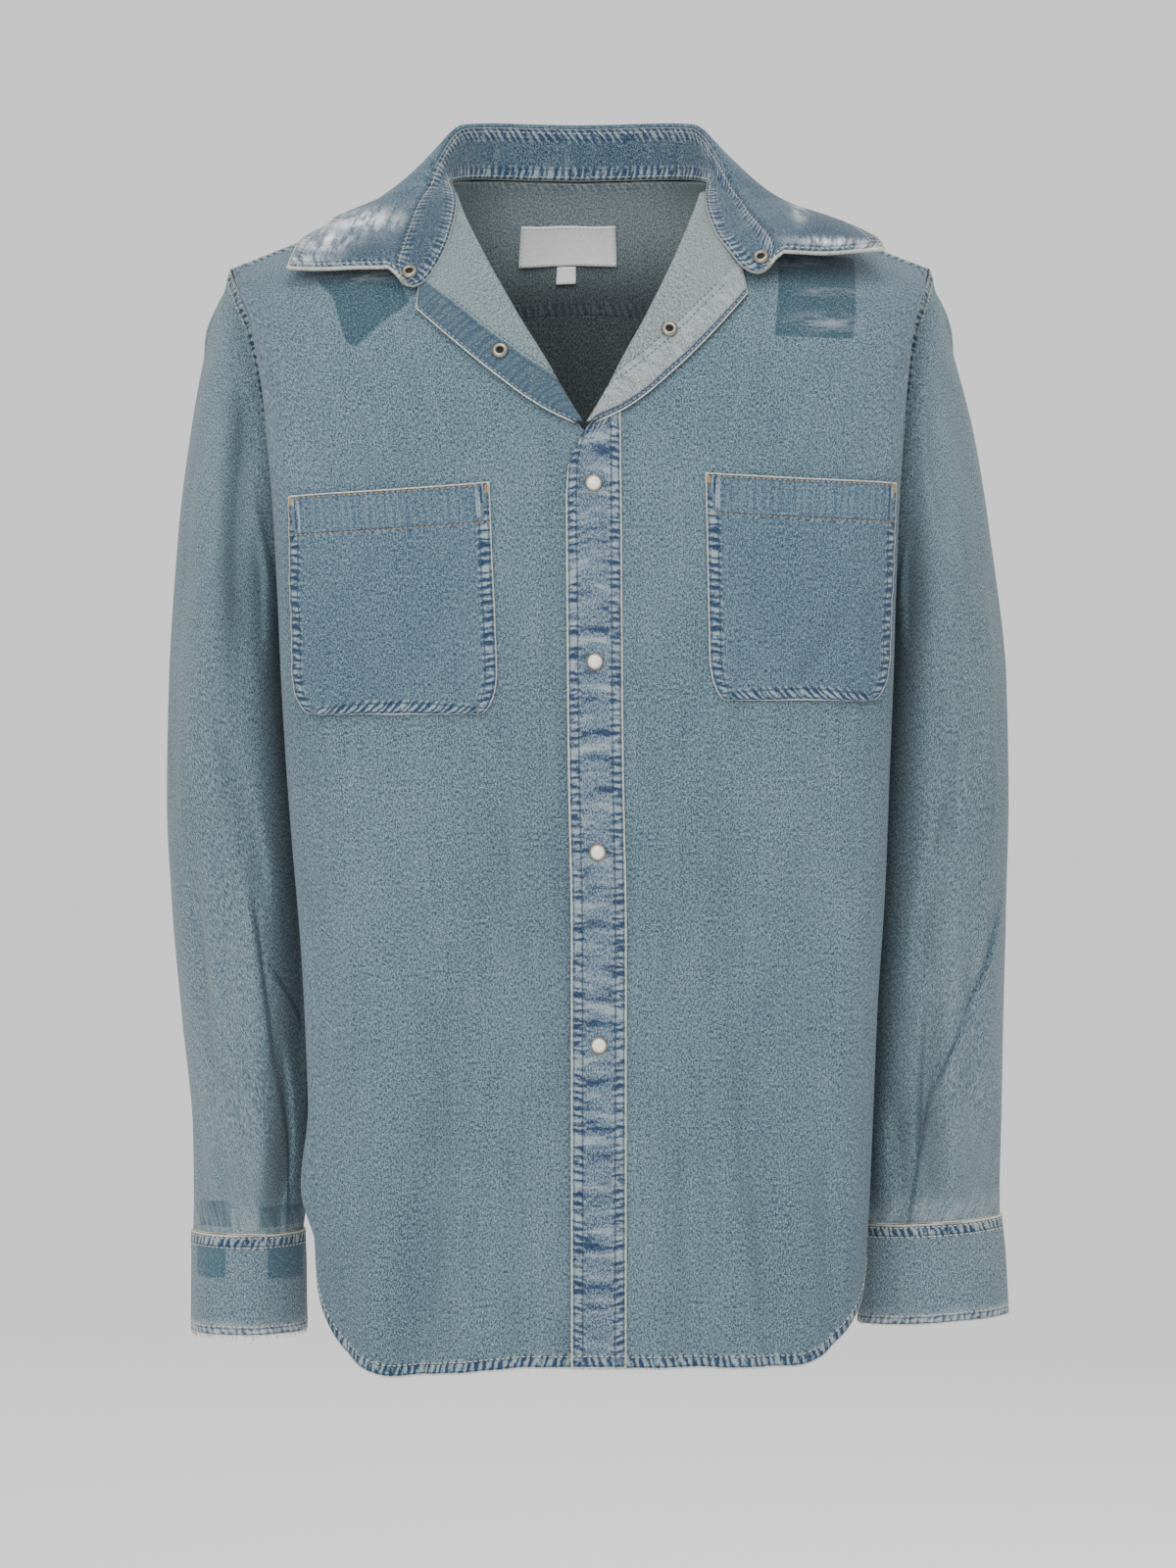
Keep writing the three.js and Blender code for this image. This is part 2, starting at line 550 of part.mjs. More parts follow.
// A closed thin wall about a surface. around: its first and last columns meet.
function wall(surface, columns, rows, thickness, around = false) {
  const step = 1e-4;
  const count = around ? columns : columns + 1;
  const positions = [];
  const indices = [];
  for (const face of [0.5, -0.5]) {
    for (let j = 0; j <= rows; j++) {
      for (let i = 0; i < count; i++) {
        const u = i / columns;
        const v = j / rows;
        const [uLow, uHigh] = around ? [u - step, u + step] : [Math.max(u - step, 0), Math.min(u + step, 1)];
        const across = surface(uHigh, v).sub(surface(uLow, v));
        const up = surface(u, Math.min(v + step, 1)).sub(surface(u, Math.max(v - step, 0)));
        const normal = across.cross(up).normalize();
        const point = surface(u, v).addScaledVector(normal, face * thickness);
        positions.push(point.x, point.y, point.z);
      }
    }
  }
  const layer = count * (rows + 1);
  const index = (face, i, j) => face * layer + j * count + (i % count);
  const quad = (a, b, c, d) => indices.push(a, b, c, a, c, d);
  for (let j = 0; j < rows; j++) {
    for (let i = 0; i < columns; i++) {
      quad(index(0, i, j), index(0, i + 1, j), index(0, i + 1, j + 1), index(0, i, j + 1));
      quad(index(1, i, j), index(1, i, j + 1), index(1, i + 1, j + 1), index(1, i + 1, j));
    }
    if (!around) {
      quad(index(0, 0, j), index(0, 0, j + 1), index(1, 0, j + 1), index(1, 0, j));
      quad(index(0, columns, j), index(1, columns, j), index(1, columns, j + 1), index(0, columns, j + 1));
    }
  }
  for (let i = 0; i < columns; i++) {
    quad(index(0, i, 0), index(1, i, 0), index(1, i + 1, 0), index(0, i + 1, 0));
    quad(index(0, i, rows), index(0, i + 1, rows), index(1, i + 1, rows), index(1, i, rows));
  }
  return outward(positions, indices);
}

// Builds the geometry with its faces pointing out
function outward(positions, indices) {
  let volume = 0;
  const corner = (k) => new THREE.Vector3().fromArray(positions, 3 * k);
  for (let i = 0; i < indices.length; i += 3) {
    volume += corner(indices[i]).dot(corner(indices[i + 1]).cross(corner(indices[i + 2])));
  }
  if (volume < 0) indices.reverse();
  const geometry = new THREE.BufferGeometry();
  geometry.setAttribute("position", new THREE.Float32BufferAttribute(positions, 3));
  geometry.setIndex(indices);
  geometry.computeVertexNormals();
  return geometry;
}

const shirt = new THREE.Group();
function add(name, geometry, colour, metalness = 0) {
  const roughness = metalness ? 0.35 : 0.9;
  const material = new THREE.MeshStandardMaterial({ color: colour, roughness, metalness });
  const mesh = new THREE.Mesh(geometry, material);
  mesh.name = name;
  shirt.add(mesh);
  return mesh;
}

// Fronts, back and yoke
const SEAM_U = 0.0004; // a side seam's clearance as a share of a panel's width
for (const side of [-1, 1]) {
  const surface = (u, v) => frontPoint(side, u * (1 - SEAM_U), 0.9997 * v ** 0.85);
  add(`front_${nameOf(side)}`, wall(surface, 20, 16, CLOTH), DENIM.blue);
}
const back = (u, v) => backPoint(mix(-1 + SEAM_U, 1 - SEAM_U, u), v * 0.9996);
add("back", wall(back, 24, 11, CLOTH), DENIM.blue);
add("yoke", wall((u, v) => yokePoint(mix(-1, 1, u), mix(0.003, 0.995, v)), 24, 5, CLOTH), DENIM.blue);

// Sleeves with their plackets, and cuffs with their snaps
for (const side of [-1, 1]) {
  const name = nameOf(side);
  const tube = (u, v) => sleevePoint(side, u, mix(0.0025, 1, v ** 1.15));
  add(`sleeve_${name}`, wall(tube, 28, 14, CLOTH, true), DENIM.blue);
  const sleeve = (u, v) => sleevePoint(side, u, v);
  const strip = (u, v) => seat(sleeve, mix(0.595, 0.68, u), mix(0.84, 0.997, v), LAYER + 2.5 * SEAM, side)[0];
  add(`sleeve_placket_${name}`, wall(strip, 3, 3, CLOTH), DENIM.blue);
  const cuff = (u, v) => cuffPoint(side, u, v);
  add(`cuff_${name}`, wall(cuff, 28, 1, DOUBLE), DENIM.blue);
  const [point, out] = seat(cuff, 0.965, 0.5, DOUBLE / 2 + SEAM, side);
  add(`cuff_snap_${name}`, snap(point, out), DENIM.metal, 0.8);
}

// Placket and its snaps
const placket = (u, v) => {
  const x = mix(PLACKET.from, PLACKET.to, u);
  const top = mix(PLACKET.topLeft, PLACKET.topRight, u);
  return onFront(1, x, mix(PLACKET.hem, top, v), LAYER + SEAM);
};
add("placket", wall(placket, 3, 20, CLOTH), DENIM.dark);
PLACKET_SNAPS.forEach((z, i) => {
  const v = (z - PLACKET.hem) / ((PLACKET.topLeft + PLACKET.topRight) / 2 - PLACKET.hem);
  const [point, out] = seat(placket, 0.5, v, CLOTH / 2 + SEAM);
  add(`placket_snap_${i + 1}`, snap(point, out), DENIM.metal, 0.8);
});

// Facings with their snap halves, and pockets
for (const side of [-1, 1]) {
  const name = nameOf(side);
  const facing = (u, v) => facingPoint(side, u < 0.25 ? u * 4 - 1 : (u - 0.25) / 0.75, v);
  add(`facing_${name}`, wall(facing, 12, 7, CLOTH), DENIM.pale);
  const spot = LAPEL_SNAPS[name];
  const [point, out] = panelFrame(side, ...chestShares(side, spot.x, spot.z));
  point.addScaledVector(out, FACING_LIFT + CLOTH / 2 + SEAM);
  add(`facing_snap_${name}`, snap(point, out), DENIM.metal, 0.8);
  const pocket = POCKETS[name];
  const pocketPoint = (u, v) => {
    const corner = Math.max(1 - v / POCKET_ROUND, 0);
    const narrow = 1 - POCKET_CORNER * (1 - Math.sqrt(Math.max(1 - corner * corner, 0)));
    const across = 0.5 + (u - 0.5) * narrow;
    const top = mix(pocket.zTopIn, pocket.zTopOut, across);
    const x = mix(mix(pocket.xInLow, pocket.xOutLow, across), mix(pocket.xIn, pocket.xOut, across), v);
    return onFront(side, x, mix(pocket.zBottom, top, v), LAYER + SEAM + 1.3 * smooth(0.5, 0.95, across));
  };
  add(`pocket_${name}`, wall(pocketPoint, 10, 7, CLOTH), DENIM.blue);
}

// Collar stand, leaf and snaps
const stand = (u, v) => standPoint(mix(-1, 1, u), v);
add("collar_stand", wall(stand, 30, 2, DOUBLE), DENIM.dark);
add("collar_leaf", wall((u, v) => leafPoint(mix(-1, 1, u), mix(0.03, 1, v)), 30, 4, DOUBLE), DENIM.dark);
for (const side of [-1, 1]) {
  const [point, out] = seat(stand, 0.5 + side * 0.475, 0.5, DOUBLE / 2 + 4 * SEAM);
  add(`collar_snap_${nameOf(side)}`, snap(point, out), DENIM.metal, 0.8);
}

// Label and its tab, inside the yoke
const UNDER_YOKE = LAYER + 3 * SEAM;
const TAPE = 0.8;
const label = (u, v) => underYoke(mix(-0.14, 0.085, u), mix(0.34, 0.64, v), UNDER_YOKE);
const tab = (u, v) => underYoke(mix(-0.042, -0.006, u), mix(0.21, 0.333, v), UNDER_YOKE);
add("neck_label", wall(label, 6, 3, TAPE), DENIM.label);
add("neck_label_tab", wall(tab, 2, 2, TAPE), DENIM.label);

export default shirt;
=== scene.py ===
"""A washed denim shirt with snaps, hollow as it hangs on a wearer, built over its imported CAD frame."""

from math import pi

import bmesh
import bpy
import numpy as np
from mathutils import Matrix, Vector
from mathutils.kdtree import KDTree


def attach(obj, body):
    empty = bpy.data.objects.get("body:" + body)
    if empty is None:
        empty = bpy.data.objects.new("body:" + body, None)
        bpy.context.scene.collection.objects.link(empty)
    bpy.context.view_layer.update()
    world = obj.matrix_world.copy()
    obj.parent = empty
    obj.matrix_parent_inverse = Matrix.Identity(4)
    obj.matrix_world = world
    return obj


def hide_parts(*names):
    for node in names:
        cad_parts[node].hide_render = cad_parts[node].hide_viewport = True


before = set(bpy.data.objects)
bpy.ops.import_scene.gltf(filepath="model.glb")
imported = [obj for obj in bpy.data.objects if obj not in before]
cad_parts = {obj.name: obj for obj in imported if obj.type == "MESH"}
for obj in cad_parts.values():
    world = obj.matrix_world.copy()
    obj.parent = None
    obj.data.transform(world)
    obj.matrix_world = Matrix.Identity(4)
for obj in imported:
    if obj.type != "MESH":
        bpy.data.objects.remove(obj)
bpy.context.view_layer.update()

# Shapes are worked out in millimetres and made in metres
MM = 0.001
CLOTH = 1.2
DOUBLE = 2.4
# Width of the worn band along a sewn border, and how close to a piece's ends its last column or row lies
BAND = 9.0
END_GAP = 0.8
# A patch's signed distance where a piece has none
FAR_OUTSIDE = -50.0

# The body's centre line: height, how far it leans
CENTRE = np.array([(-790, 2), (-500, 2), (-380, 0), (-150, -2), (-84, -4), (0, -6.5), (60, -6.5)])

# Front by level: height at its edge and side, from where and how late it rises to the side
FRONT_HEIGHTS = np.array([
    (0, -776, -678, 0.4, 1.5), (0.14, -660, -632, 0.3, 1.5), (0.3, -545, -538, 0, 1),
    (0.45, -425, -425, 0, 1), (0.58, -325, -330, 0, 1), (0.66, -262, -280, 0, 1.2),
    (0.75, -190, -225, 0, 1.2), (0.82, -135, -178, 0, 1.2), (0.88, -90, -135, 0, 1.2),
    (0.93, -48, -98, 0, 1.2), (0.97, -16, -68, 0, 1.2), (1, 8, -49, 0, 1.1),
])
# Front by level: x at edge, fold and side, then y at the same places
FRONT_SECTIONS = np.array([
    (0, 0, 181, 177, -108, -52, 12), (0.14, 0, 185, 178, -113, -56, 12),
    (0.3, 0, 189, 181, -117, -60, 12), (0.45, 0, 196, 187, -122, -62, 12),
    (0.58, 0, 201, 191, -126, -62, 12), (0.66, 0, 203, 193, -127, -62, 12),
    (0.75, 0, 205.5, 197, -125, -64, -26), (0.82, 21, 209, 202, -117, -66, -35),
    (0.88, 46, 213, 208, -103, -64, -34), (0.93, 67, 219, 215, -78, -54, -28),
    (0.97, 80, 228, 226, -36, -31, -16), (1, 87, 234, 234, 7, 7, 7),
])
# Front edge by level: left front, right front
FRONT_EDGE = np.array([
    (0, -13, -22), (0.72, -13, -22), (0.745, -11.5, -16), (0.76, -7, -8), (0.775, -1, -1), (0.79, 7, 7),
    (0.82, 21, 21),
])
# Back by level: height at its middle and side, from where and how late it rises to the side
BACK_HEIGHTS = np.array([
    (0, -800, -678, 0.4, 1.6), (0.16, -668, -632, 0.25, 1.5), (0.34, -545, -538, 0, 1),
    (0.5, -425, -425, 0, 1), (0.65, -325, -330, 0, 1), (0.74, -262, -280, 0, 1.2),
    (0.86, -180, -212, 0, 1.2), (1, -67, -118, 0, 1.3),
])
# Back by level: x and y at its side, y at its middle
BACK_SECTIONS = np.array([
    (0, 177, 12, 104), (0.16, 178, 12, 104), (0.34, 181, 12, 106), (0.5, 187, 12, 110),
    (0.65, 191, 12, 117), (0.74, 193, 12, 121), (0.86, 195, 54, 123), (1, 205, 62, 118),
])
# Yoke's upper edge from neck to shoulder tip: x, y, z, how far its cloth bends on the way up
YOKE_TOP = np.array([
    (0, 0, 74, 18, 0.62), (0.2, 42, 67, 18, 0.66), (0.34, 72, 45, 15, 0.75), (0.46, 87, 8.2, 8, 0.95),
    (0.6, 126, 7.6, -6, 1), (0.8, 180, 7.6, -27, 1), (1, 234, 7.6, -49, 1),
])
# Sleeve by level: outer x and z, inner x and z, middle y, half depth
SLEEVE = {
    -1: np.array([
        (0.12, 248, -70, 203, -284, 16, 60), (0.2, 258, -104, 203, -289, 17, 66),
        (0.3, 268, -158, 204, -297, 19, 71), (0.4, 277, -230, 204, -314, 21, 74),
        (0.5, 283.5, -325, 200, -352, 23, 74), (0.6, 285, -400, 195, -408, 24, 72),
        (0.72, 281, -480, 189, -483, 22, 69), (0.82, 274, -555, 186, -556, 19, 65),
        (0.92, 266.5, -630, 185, -630, 15, 59), (1, 265.5, -696, 193, -696, 12, 46),
    ]),
    1: np.array([
        (0.12, 237, -70, 203, -284, 16, 60), (0.2, 246, -104, 203, -289, 17, 66),
        (0.3, 260, -158, 204, -297, 19, 71), (0.4, 272, -230, 204, -314, 21, 74),
        (0.5, 283, -325, 200, -352, 23, 74), (0.6, 284.5, -400, 196, -408, 24, 71),
        (0.72, 282.5, -480, 191, -483, 22, 67), (0.82, 280.5, -555, 188, -556, 20, 62),
        (0.92, 279, -630, 186, -630, 18, 54), (1, 277.5, -686, 187, -692, 16, 40),
    ]),
}
# Collar by share from the middle of the back to its front end: x, y, z
COLLAR_SEAM = np.array([
    (0, 0, 75, 19.5), (0.2, 43, 68, 19.5), (0.36, 73, 45, 17), (0.5, 86, 12, 9), (0.66, 80, -27, -17),
    (0.82, 87, -68, -43), (0.94, 101, -90, -67), (1, 110, -97, -79),
])
COLLAR_TOP = np.array([
    (0, 0, 80, 56), (0.2, 45, 72, 56), (0.36, 78, 47, 52), (0.5, 95, 14, 27), (0.66, 107, -16, -7),
    (0.82, 118, -58, -36), (0.94, 125, -86, -54), (1, 126, -93, -62),
])
COLLAR_MID = np.array([
    (0, 0, 101, 39), (0.2, 56, 93, 38), (0.36, 97, 66, 31), (0.5, 118, 25, 12), (0.66, 136, -14, -9),
    (0.82, 150, -52, -33), (0.94, 156, -78, -52), (1, 158, -85, -63),
])
COLLAR_EDGE = np.array([
    (0, 0, 107, 6), (0.2, 63, 101, 4), (0.36, 113, 79, 0), (0.5, 148, 34, -12), (0.66, 172, -6, -24),
    (0.82, 189, -36, -40), (0.94, 194, -56, -50), (1, 197, -64, -58),
])
# Facing's outer edge from the V to the neck: x, z
FACING_EDGE = np.array([(0, 7, -163), (0.18, 27, -154), (0.5, 60, -130), (0.75, 86, -108), (1, 108, -88)])

TURN, SQUARE, BACK_SQUARE = 0.84, 2.6, 2.3
# The right front's hem hangs lower and stands out at its side, and its edge passes under the left front's
HEM_DIP, HEM_KICK, UNDER = 7, 7, 3.2
# Level above which both fronts turn out, and the radius of that fold
OPEN_FROM, ROLL = 0.82, 2.2
# A cuff's turns round the wrist, where they begin, and its height
CUFF_TURNS, CUFF_GAP_AT, CUFF_DROP = 1.09, 0.64, 67
# How far a sleeve stands out from its armhole, and its least distance from the body below it
SLEEVE_LAP, SLEEVE_CLEAR = 2.6, 3.5
# Lengths in which folds on a sleeve are given: round it, and down it to the cuff
SLEEVE_ROUND, SLEEVE_DOWN = 280, 640
PLACKET = {"from": -13, "to": 23, "hem": -775.2, "top_left": -172, "top_right": -152}
PLACKET_SNAPS = (-202, -317, -440, -565)
LAPEL_SNAPS = {-1: (54, -117), 1: (56, -103)}
POCKETS = {
    -1: {"in": 62, "in_low": 57.5, "out": 192, "out_low": 190,
         "top_in": -201, "top_out": -208, "bottom": -351},
    1: {"in": 77, "in_low": 79, "out": 200.5, "out_low": 194,
        "top_in": -195, "top_out": -199, "bottom": -342},
}
NAMES = {-1: "right", 1: "left"}

# Soft folds pressed into each panel: from (a, b) to (a, b), half width, height, bow. A height below 0
# is a trough. a runs across the cloth and b up it, in millimetres; on a front they are x and z as seen.
FRONT_FOLDS = {
    -1: [
        (50, -375, 74, -560, 13, -3.0, 5), (76, -470, 96, -690, 16, -3.6, -6),
        (100, -520, 112, -780, 14, -4.5, 4), (128, -640, 138, -790, 17, 3.6, 0),
        (88, -640, 80, -790, 12, 3.0, 3), (152, -560, 160, -770, 15, -4.0, 4),
        (176, -440, 168, -640, 17, -3.0, 6), (38, -590, 46, -780, 11, -2.4, 0),
        (198, -262, 120, -380, 15, -2.6, 7), (196, -250, 160, -330, 10, 1.8, 5),
        (60, -235, 40, -400, 16, -1.6, 6), (205, -150, 170, -190, 12, -1.8, 3),
        (118, -95, 150, -205, 20, -1.5, 5), (150, -395, 140, -520, 20, 1.8, 5),
        (62, -700, 60, -790, 10, 2.2, 0),
    ],
    1: [
        (90, -380, 92, -560, 12, -3.6, -5), (96, -520, 108, -700, 13, -4.2, 3),
        (112, -600, 118, -780, 12, -3.6, 4), (134, -620, 138, -790, 15, 3.8, 0),
        (62, -560, 70, -785, 17, -2.6, 4), (156, -600, 160, -770, 13, -4.4, 3),
        (140, -420, 152, -600, 18, -2.4, -6), (178, -470, 172, -680, 15, -2.6, 5),
        (200, -258, 130, -350, 14, -2.8, 6), (197, -245, 165, -310, 10, 2.0, 4),
        (44, -230, 36, -380, 15, -1.5, 5), (206, -140, 178, -196, 12, -1.8, 3),
        (110, -100, 140, -190, 20, -1.4, -5), (84, -640, 88, -780, 10, 2.6, 0),
        (44, -640, 40, -780, 10, 2.0, 3),
    ],
}
BACK_FOLDS = [
    (-150, -430, -158, -790, 17, -4.0, 6), (-96, -300, -82, -790, 20, -3.4, 9),
    (-40, -480, -50, -800, 15, 3.6, 4), (6, -90, 4, -520, 12, -2.6, 3), (-12, -80, -18, -360, 10, 2.2, 2),
    (58, -420, 44, -800, 18, -4.2, -7), (108, -340, 118, -790, 20, -3.4, 6),
    (152, -520, 146, -780, 14, 3.4, 4), (-196, -250, -110, -330, 16, -2.8, -7),
    (194, -246, 116, -344, 15, -2.6, 8), (-190, -290, -150, -420, 13, 2.0, 5),
    (188, -300, 150, -400, 12, 1.8, -5), (26, -300, 70, -360, 22, -1.6, 5),
    (84, -650, 80, -795, 12, 3.0, 0), (-120, -620, -124, -790, 12, 3.2, 3),
]
# On a sleeve a is how far round from its outer line by the front, and b how far down it
SLEEVE_FOLDS = {
    -1: [
        (52, -30, 86, 330, 10, -5.4, 0), (34, 40, 40, 300, 9, 2.4, 0), (40, 130, 36, 330, 13, -2.2, -5),
        (84, 90, 98, 300, 13, -3.6, 5), (66, 330, 92, 470, 10, -3.4, 6), (36, 380, 44, 560, 12, -2.4, 5),
        (58, 400, 60, 600, 11, 2.4, -5), (94, 520, 100, 640, 7, -4.4, 3), (80, 560, 84, 640, 8, 3.2, 0),
        (112, 380, 110, 600, 13, -3.0, 5), (20, 240, 24, 420, 12, -1.8, 4),
        (150, 280, 128, 350, 9, -2.6, 3), (152, 340, 126, 372, 8, 2.2, -3),
        (168, 300, 210, 380, 13, -3.0, 6), (176, 370, 224, 400, 10, -2.6, -5),
        (206, 120, 196, 330, 16, -3.2, 7), (242, 160, 238, 420, 17, -2.6, 6),
        (220, 430, 214, 620, 13, -3.2, 5), (184, 520, 186, 640, 8, -4.0, 0),
        (250, 470, 246, 630, 12, 2.6, -4), (52, 590, 50, 640, 7, -2.6, 0), (24, 560, 22, 640, 8, -2.2, 0),
    ],
    1: [
        (50, 50, 62, 230, 11, -3.0, 6), (34, 110, 40, 300, 13, -2.4, -5), (88, 70, 102, 290, 13, -3.8, 5),
        (60, 350, 86, 520, 10, -3.2, 6), (80, 300, 74, 440, 11, -2.6, -5), (40, 400, 38, 590, 12, 2.2, 4),
        (74, 470, 78, 640, 8, -4.6, 3), (62, 540, 60, 640, 8, 3.4, 0), (98, 560, 92, 640, 7, -3.8, 0),
        (116, 400, 112, 610, 13, -3.0, 5), (22, 220, 26, 400, 12, -1.8, 4),
        (152, 290, 130, 360, 9, -2.6, 3), (150, 350, 122, 392, 8, 2.4, -3),
        (170, 290, 212, 360, 13, -3.0, 6), (178, 360, 226, 392, 10, -2.6, -5),
        (204, 110, 198, 340, 16, -3.0, 7), (240, 150, 244, 400, 17, -2.8, 6),
        (222, 420, 212, 610, 13, -3.4, 5), (182, 510, 184, 640, 8, -3.8, 0),
        (254, 480, 250, 630, 12, 2.4, -4), (22, 580, 20, 640, 8, -2.4, 0),
    ],
}

# Sharp creases on the sleeves, in the same lengths: from, to, how far one side laps over, and its reach
SLEEVE_CREASES = {
    -1: [(80, 430, 91, 560, 3.0, 12), (89, 540, 108, 640, 4.6, 12), (86, 486, 117, 527, 2.6, 8)],
    1: [(18, 440, 74, 568, 2.8, 11), (71, 548, 87, 640, 4.6, 12)],
}


def at(table, place):
    """Each column of a table at the places given, with slopes that never overshoot."""
    keys, values = table[:, 0], table[:, 1:]
    rise = np.diff(values, axis=0) / np.diff(keys)[:, None]
    slope = np.zeros_like(values, dtype=float)
    slope[0], slope[-1] = rise[0], rise[-1]
    same = rise[:-1] * rise[1:] > 0
    slope[1:-1] = np.where(same, 2 * rise[:-1] * rise[1:] / np.where(same, rise[:-1] + rise[1:], 1), 0)
    t = np.clip(place, keys[0], keys[-1])
    low = np.clip(np.searchsorted(keys, t) - 1, 0, len(keys) - 2)
    span = (keys[low + 1] - keys[low])[..., None]
    s = (t - keys[low])[..., None] / span
    start, end = slope[low] * span, slope[low + 1] * span
    step = values[low + 1] - values[low]
    rows = values[low] + start * s + (3 * step - 2 * start - end) * s**2 + (start + end - 2 * step) * s**3
    return np.moveaxis(rows, -1, 0)


def mix(a, b, t):
    return a + (b - a) * t


def smooth(a, b, t):
    s = np.clip((t - a) / (b - a), 0, 1)
    return s * s * (3 - 2 * s)


def late_share(u, start, power):
    return (np.maximum(u - start, 0) / (1 - start)) ** power


def place(side, x, y, z):
    """Points in millimetres from distances off the leaning centre line."""
    return np.stack([at(CENTRE, z)[0] + side * x, y + 0 * x, z], axis=-1)


def folded(rows, a, b):
    """Height of the listed folds at (a, b): each fades out along its length and to its sides."""
    height = 0 * a
    for a0, b0, a1, b1, width, rise, bow in rows:
        length = np.hypot(a1 - a0, b1 - b0)
        along = ((a - a0) * (a1 - a0) + (b - b0) * (b1 - b0)) / length**2
        off = ((a - a0) * (b1 - b0) - (b - b0) * (a1 - a0)) / length - 4 * bow * along * (1 - along)
        ends = smooth(0, 0.4, along) * (1 - smooth(0.72, 1, along) * (abs(b1) < 760) * (b1 != SLEEVE_DOWN))
        steep = np.where(off * bow > 0, 0.5 * width, 1.15 * width)
        height += 1.7 * rise * ends * (along < 1.06) * np.exp(-((off / steep) ** 2))
    return height


def creased(rows, a, b):
    """Height beside sharp creases, where one side laps over the other, and how near a point is to one."""
    height, line = 0 * a, 0 * a
    for a0, b0, a1, b1, lap, reach in rows:
        length = np.hypot(a1 - a0, b1 - b0)
        along = ((a - a0) * (a1 - a0) + (b - b0) * (b1 - b0)) / length**2
        off = ((a - a0) * (b1 - b0) - (b - b0) * (a1 - a0)) / length
        ends = smooth(0, 0.35, along) * (1 - smooth(0.85, 1, along) * (b1 < SLEEVE_DOWN)) * (along < 1.02)
        height = height - lap * ends * np.tanh(off / 0.8) * np.exp(-np.abs(off) / reach)
        line = np.maximum(line, ends * np.exp(-(((off - 0.7) / 1.5) ** 2)))
    return height, line


def front_edge(side, v):
    low = at(FRONT_EDGE, v)[0 if side > 0 else 1]
    return np.where(v < OPEN_FROM, low, at(FRONT_SECTIONS, v)[0])


def front(side, u, v):
    """A front: u runs from its front edge or roll line to its side, v from hem to shoulder seam."""
    u, v = np.broadcast_arrays(np.asarray(u, float), np.asarray(v, float))
    z_in, z_side, start, power = at(FRONT_HEIGHTS, v)
    _, x_fold, x_side, y_in, y_fold, y_side = at(FRONT_SECTIONS, v)
    edge = front_edge(side, v)
    angle = np.clip(u / TURN, 0, 1) * pi / 2
    turned = np.clip((u - TURN) / (1 - TURN), 0, 1)
    straight = np.clip(np.sin(angle), 0, 1) ** (2 / SQUARE)
    x = edge + (x_fold - edge) * straight + (x_side - x_fold) * turned**2
    y = y_fold + (y_in - y_fold) * np.maximum(np.cos(angle), 0) ** (2 / SQUARE) + (y_side - y_fold) * turned
    share = mix(late_share(u, start, power), mix(straight, u, 0.04), smooth(0.84, 1, v))
    z = mix(z_in, z_side, share)
    low = 1 - smooth(0, 0.6, v)
    middle = 0.52 if side > 0 else 0.42
    y = y - 3.2 * low * np.sin((u - middle) * 21) * smooth(0.06, 0.25, u) * (1 - smooth(0.8, 1, u))
    if side < 0:
        above_hem = smooth(0.05, 0.1, v) * (1 - smooth(0.1, 0.2, v))
        z = z - HEM_DIP * (1 - smooth(0.02, 0.16, v)) * smooth(0.1, 0.4, u) * (1 - smooth(0.6, TURN, u))
        x = x + HEM_KICK * above_hem * smooth(0.4, TURN, u) * (1 - smooth(TURN, 1, u))
        y = y + UNDER * (1 - smooth(17, 40, x)) * (1 - smooth(0.79, 0.85, v))
    fold = folded(FRONT_FOLDS[side], x + 72 * turned, z) * smooth(24, 44, x) * (1 - smooth(0.93, 1, u))
    return place(side, x + 0.3 * fold * np.sin(angle), y - fold * np.cos(angle), z)


def across_at(side, x, v):
    edge = front_edge(side, v)
    part = np.clip((x - edge) / (at(FRONT_SECTIONS, v)[1] - edge), 0, 1)
    return np.arcsin(part ** (SQUARE / 2)) * TURN * 2 / pi


def chest_shares(side, x, z):
    """Both shares of a front's point at x from the centre line and height z."""
    x, z = np.broadcast_arrays(np.asarray(x, float), np.asarray(z, float))
    low, high = 0 * x, 0 * x + 1
    for _ in range(24):
        v = (low + high) / 2
        below = front(side, across_at(side, x, v), v)[..., 2] < z
        low, high = np.where(below, v, low), np.where(below, high, v)
    return across_at(side, x, low), low


def back(u, v):
    """The back below the yoke: u runs from its right side seam (-1) to its left (1)."""
    u, v = np.broadcast_arrays(np.asarray(u, float), np.asarray(v, float))
    z_mid, z_side, start, power = at(BACK_HEIGHTS, v)
    x_side, y_side, y_mid = at(BACK_SECTIONS, v)
    angle = np.abs(u) * pi / 2
    x = x_side * np.sin(angle) ** (2 / BACK_SQUARE)
    y = y_side + (y_mid - y_side) * np.maximum(np.cos(angle), 0) ** (2 / BACK_SQUARE)
    z = mix(z_mid, z_side, late_share(np.abs(u), start, power))
    y = y + 3 * (1 - smooth(0, 0.7, v)) * np.sin(u * 13) * (1 - u * u)
    side = np.where(u < 0, -1, 1)
    fold = folded(BACK_FOLDS, side * x, z) * (1 - smooth(0.93, 1, np.abs(u))) * (1 - smooth(0.96, 1, v))
    return place(side, x + 0.3 * fold * np.sin(angle), y + fold * np.cos(angle), z)


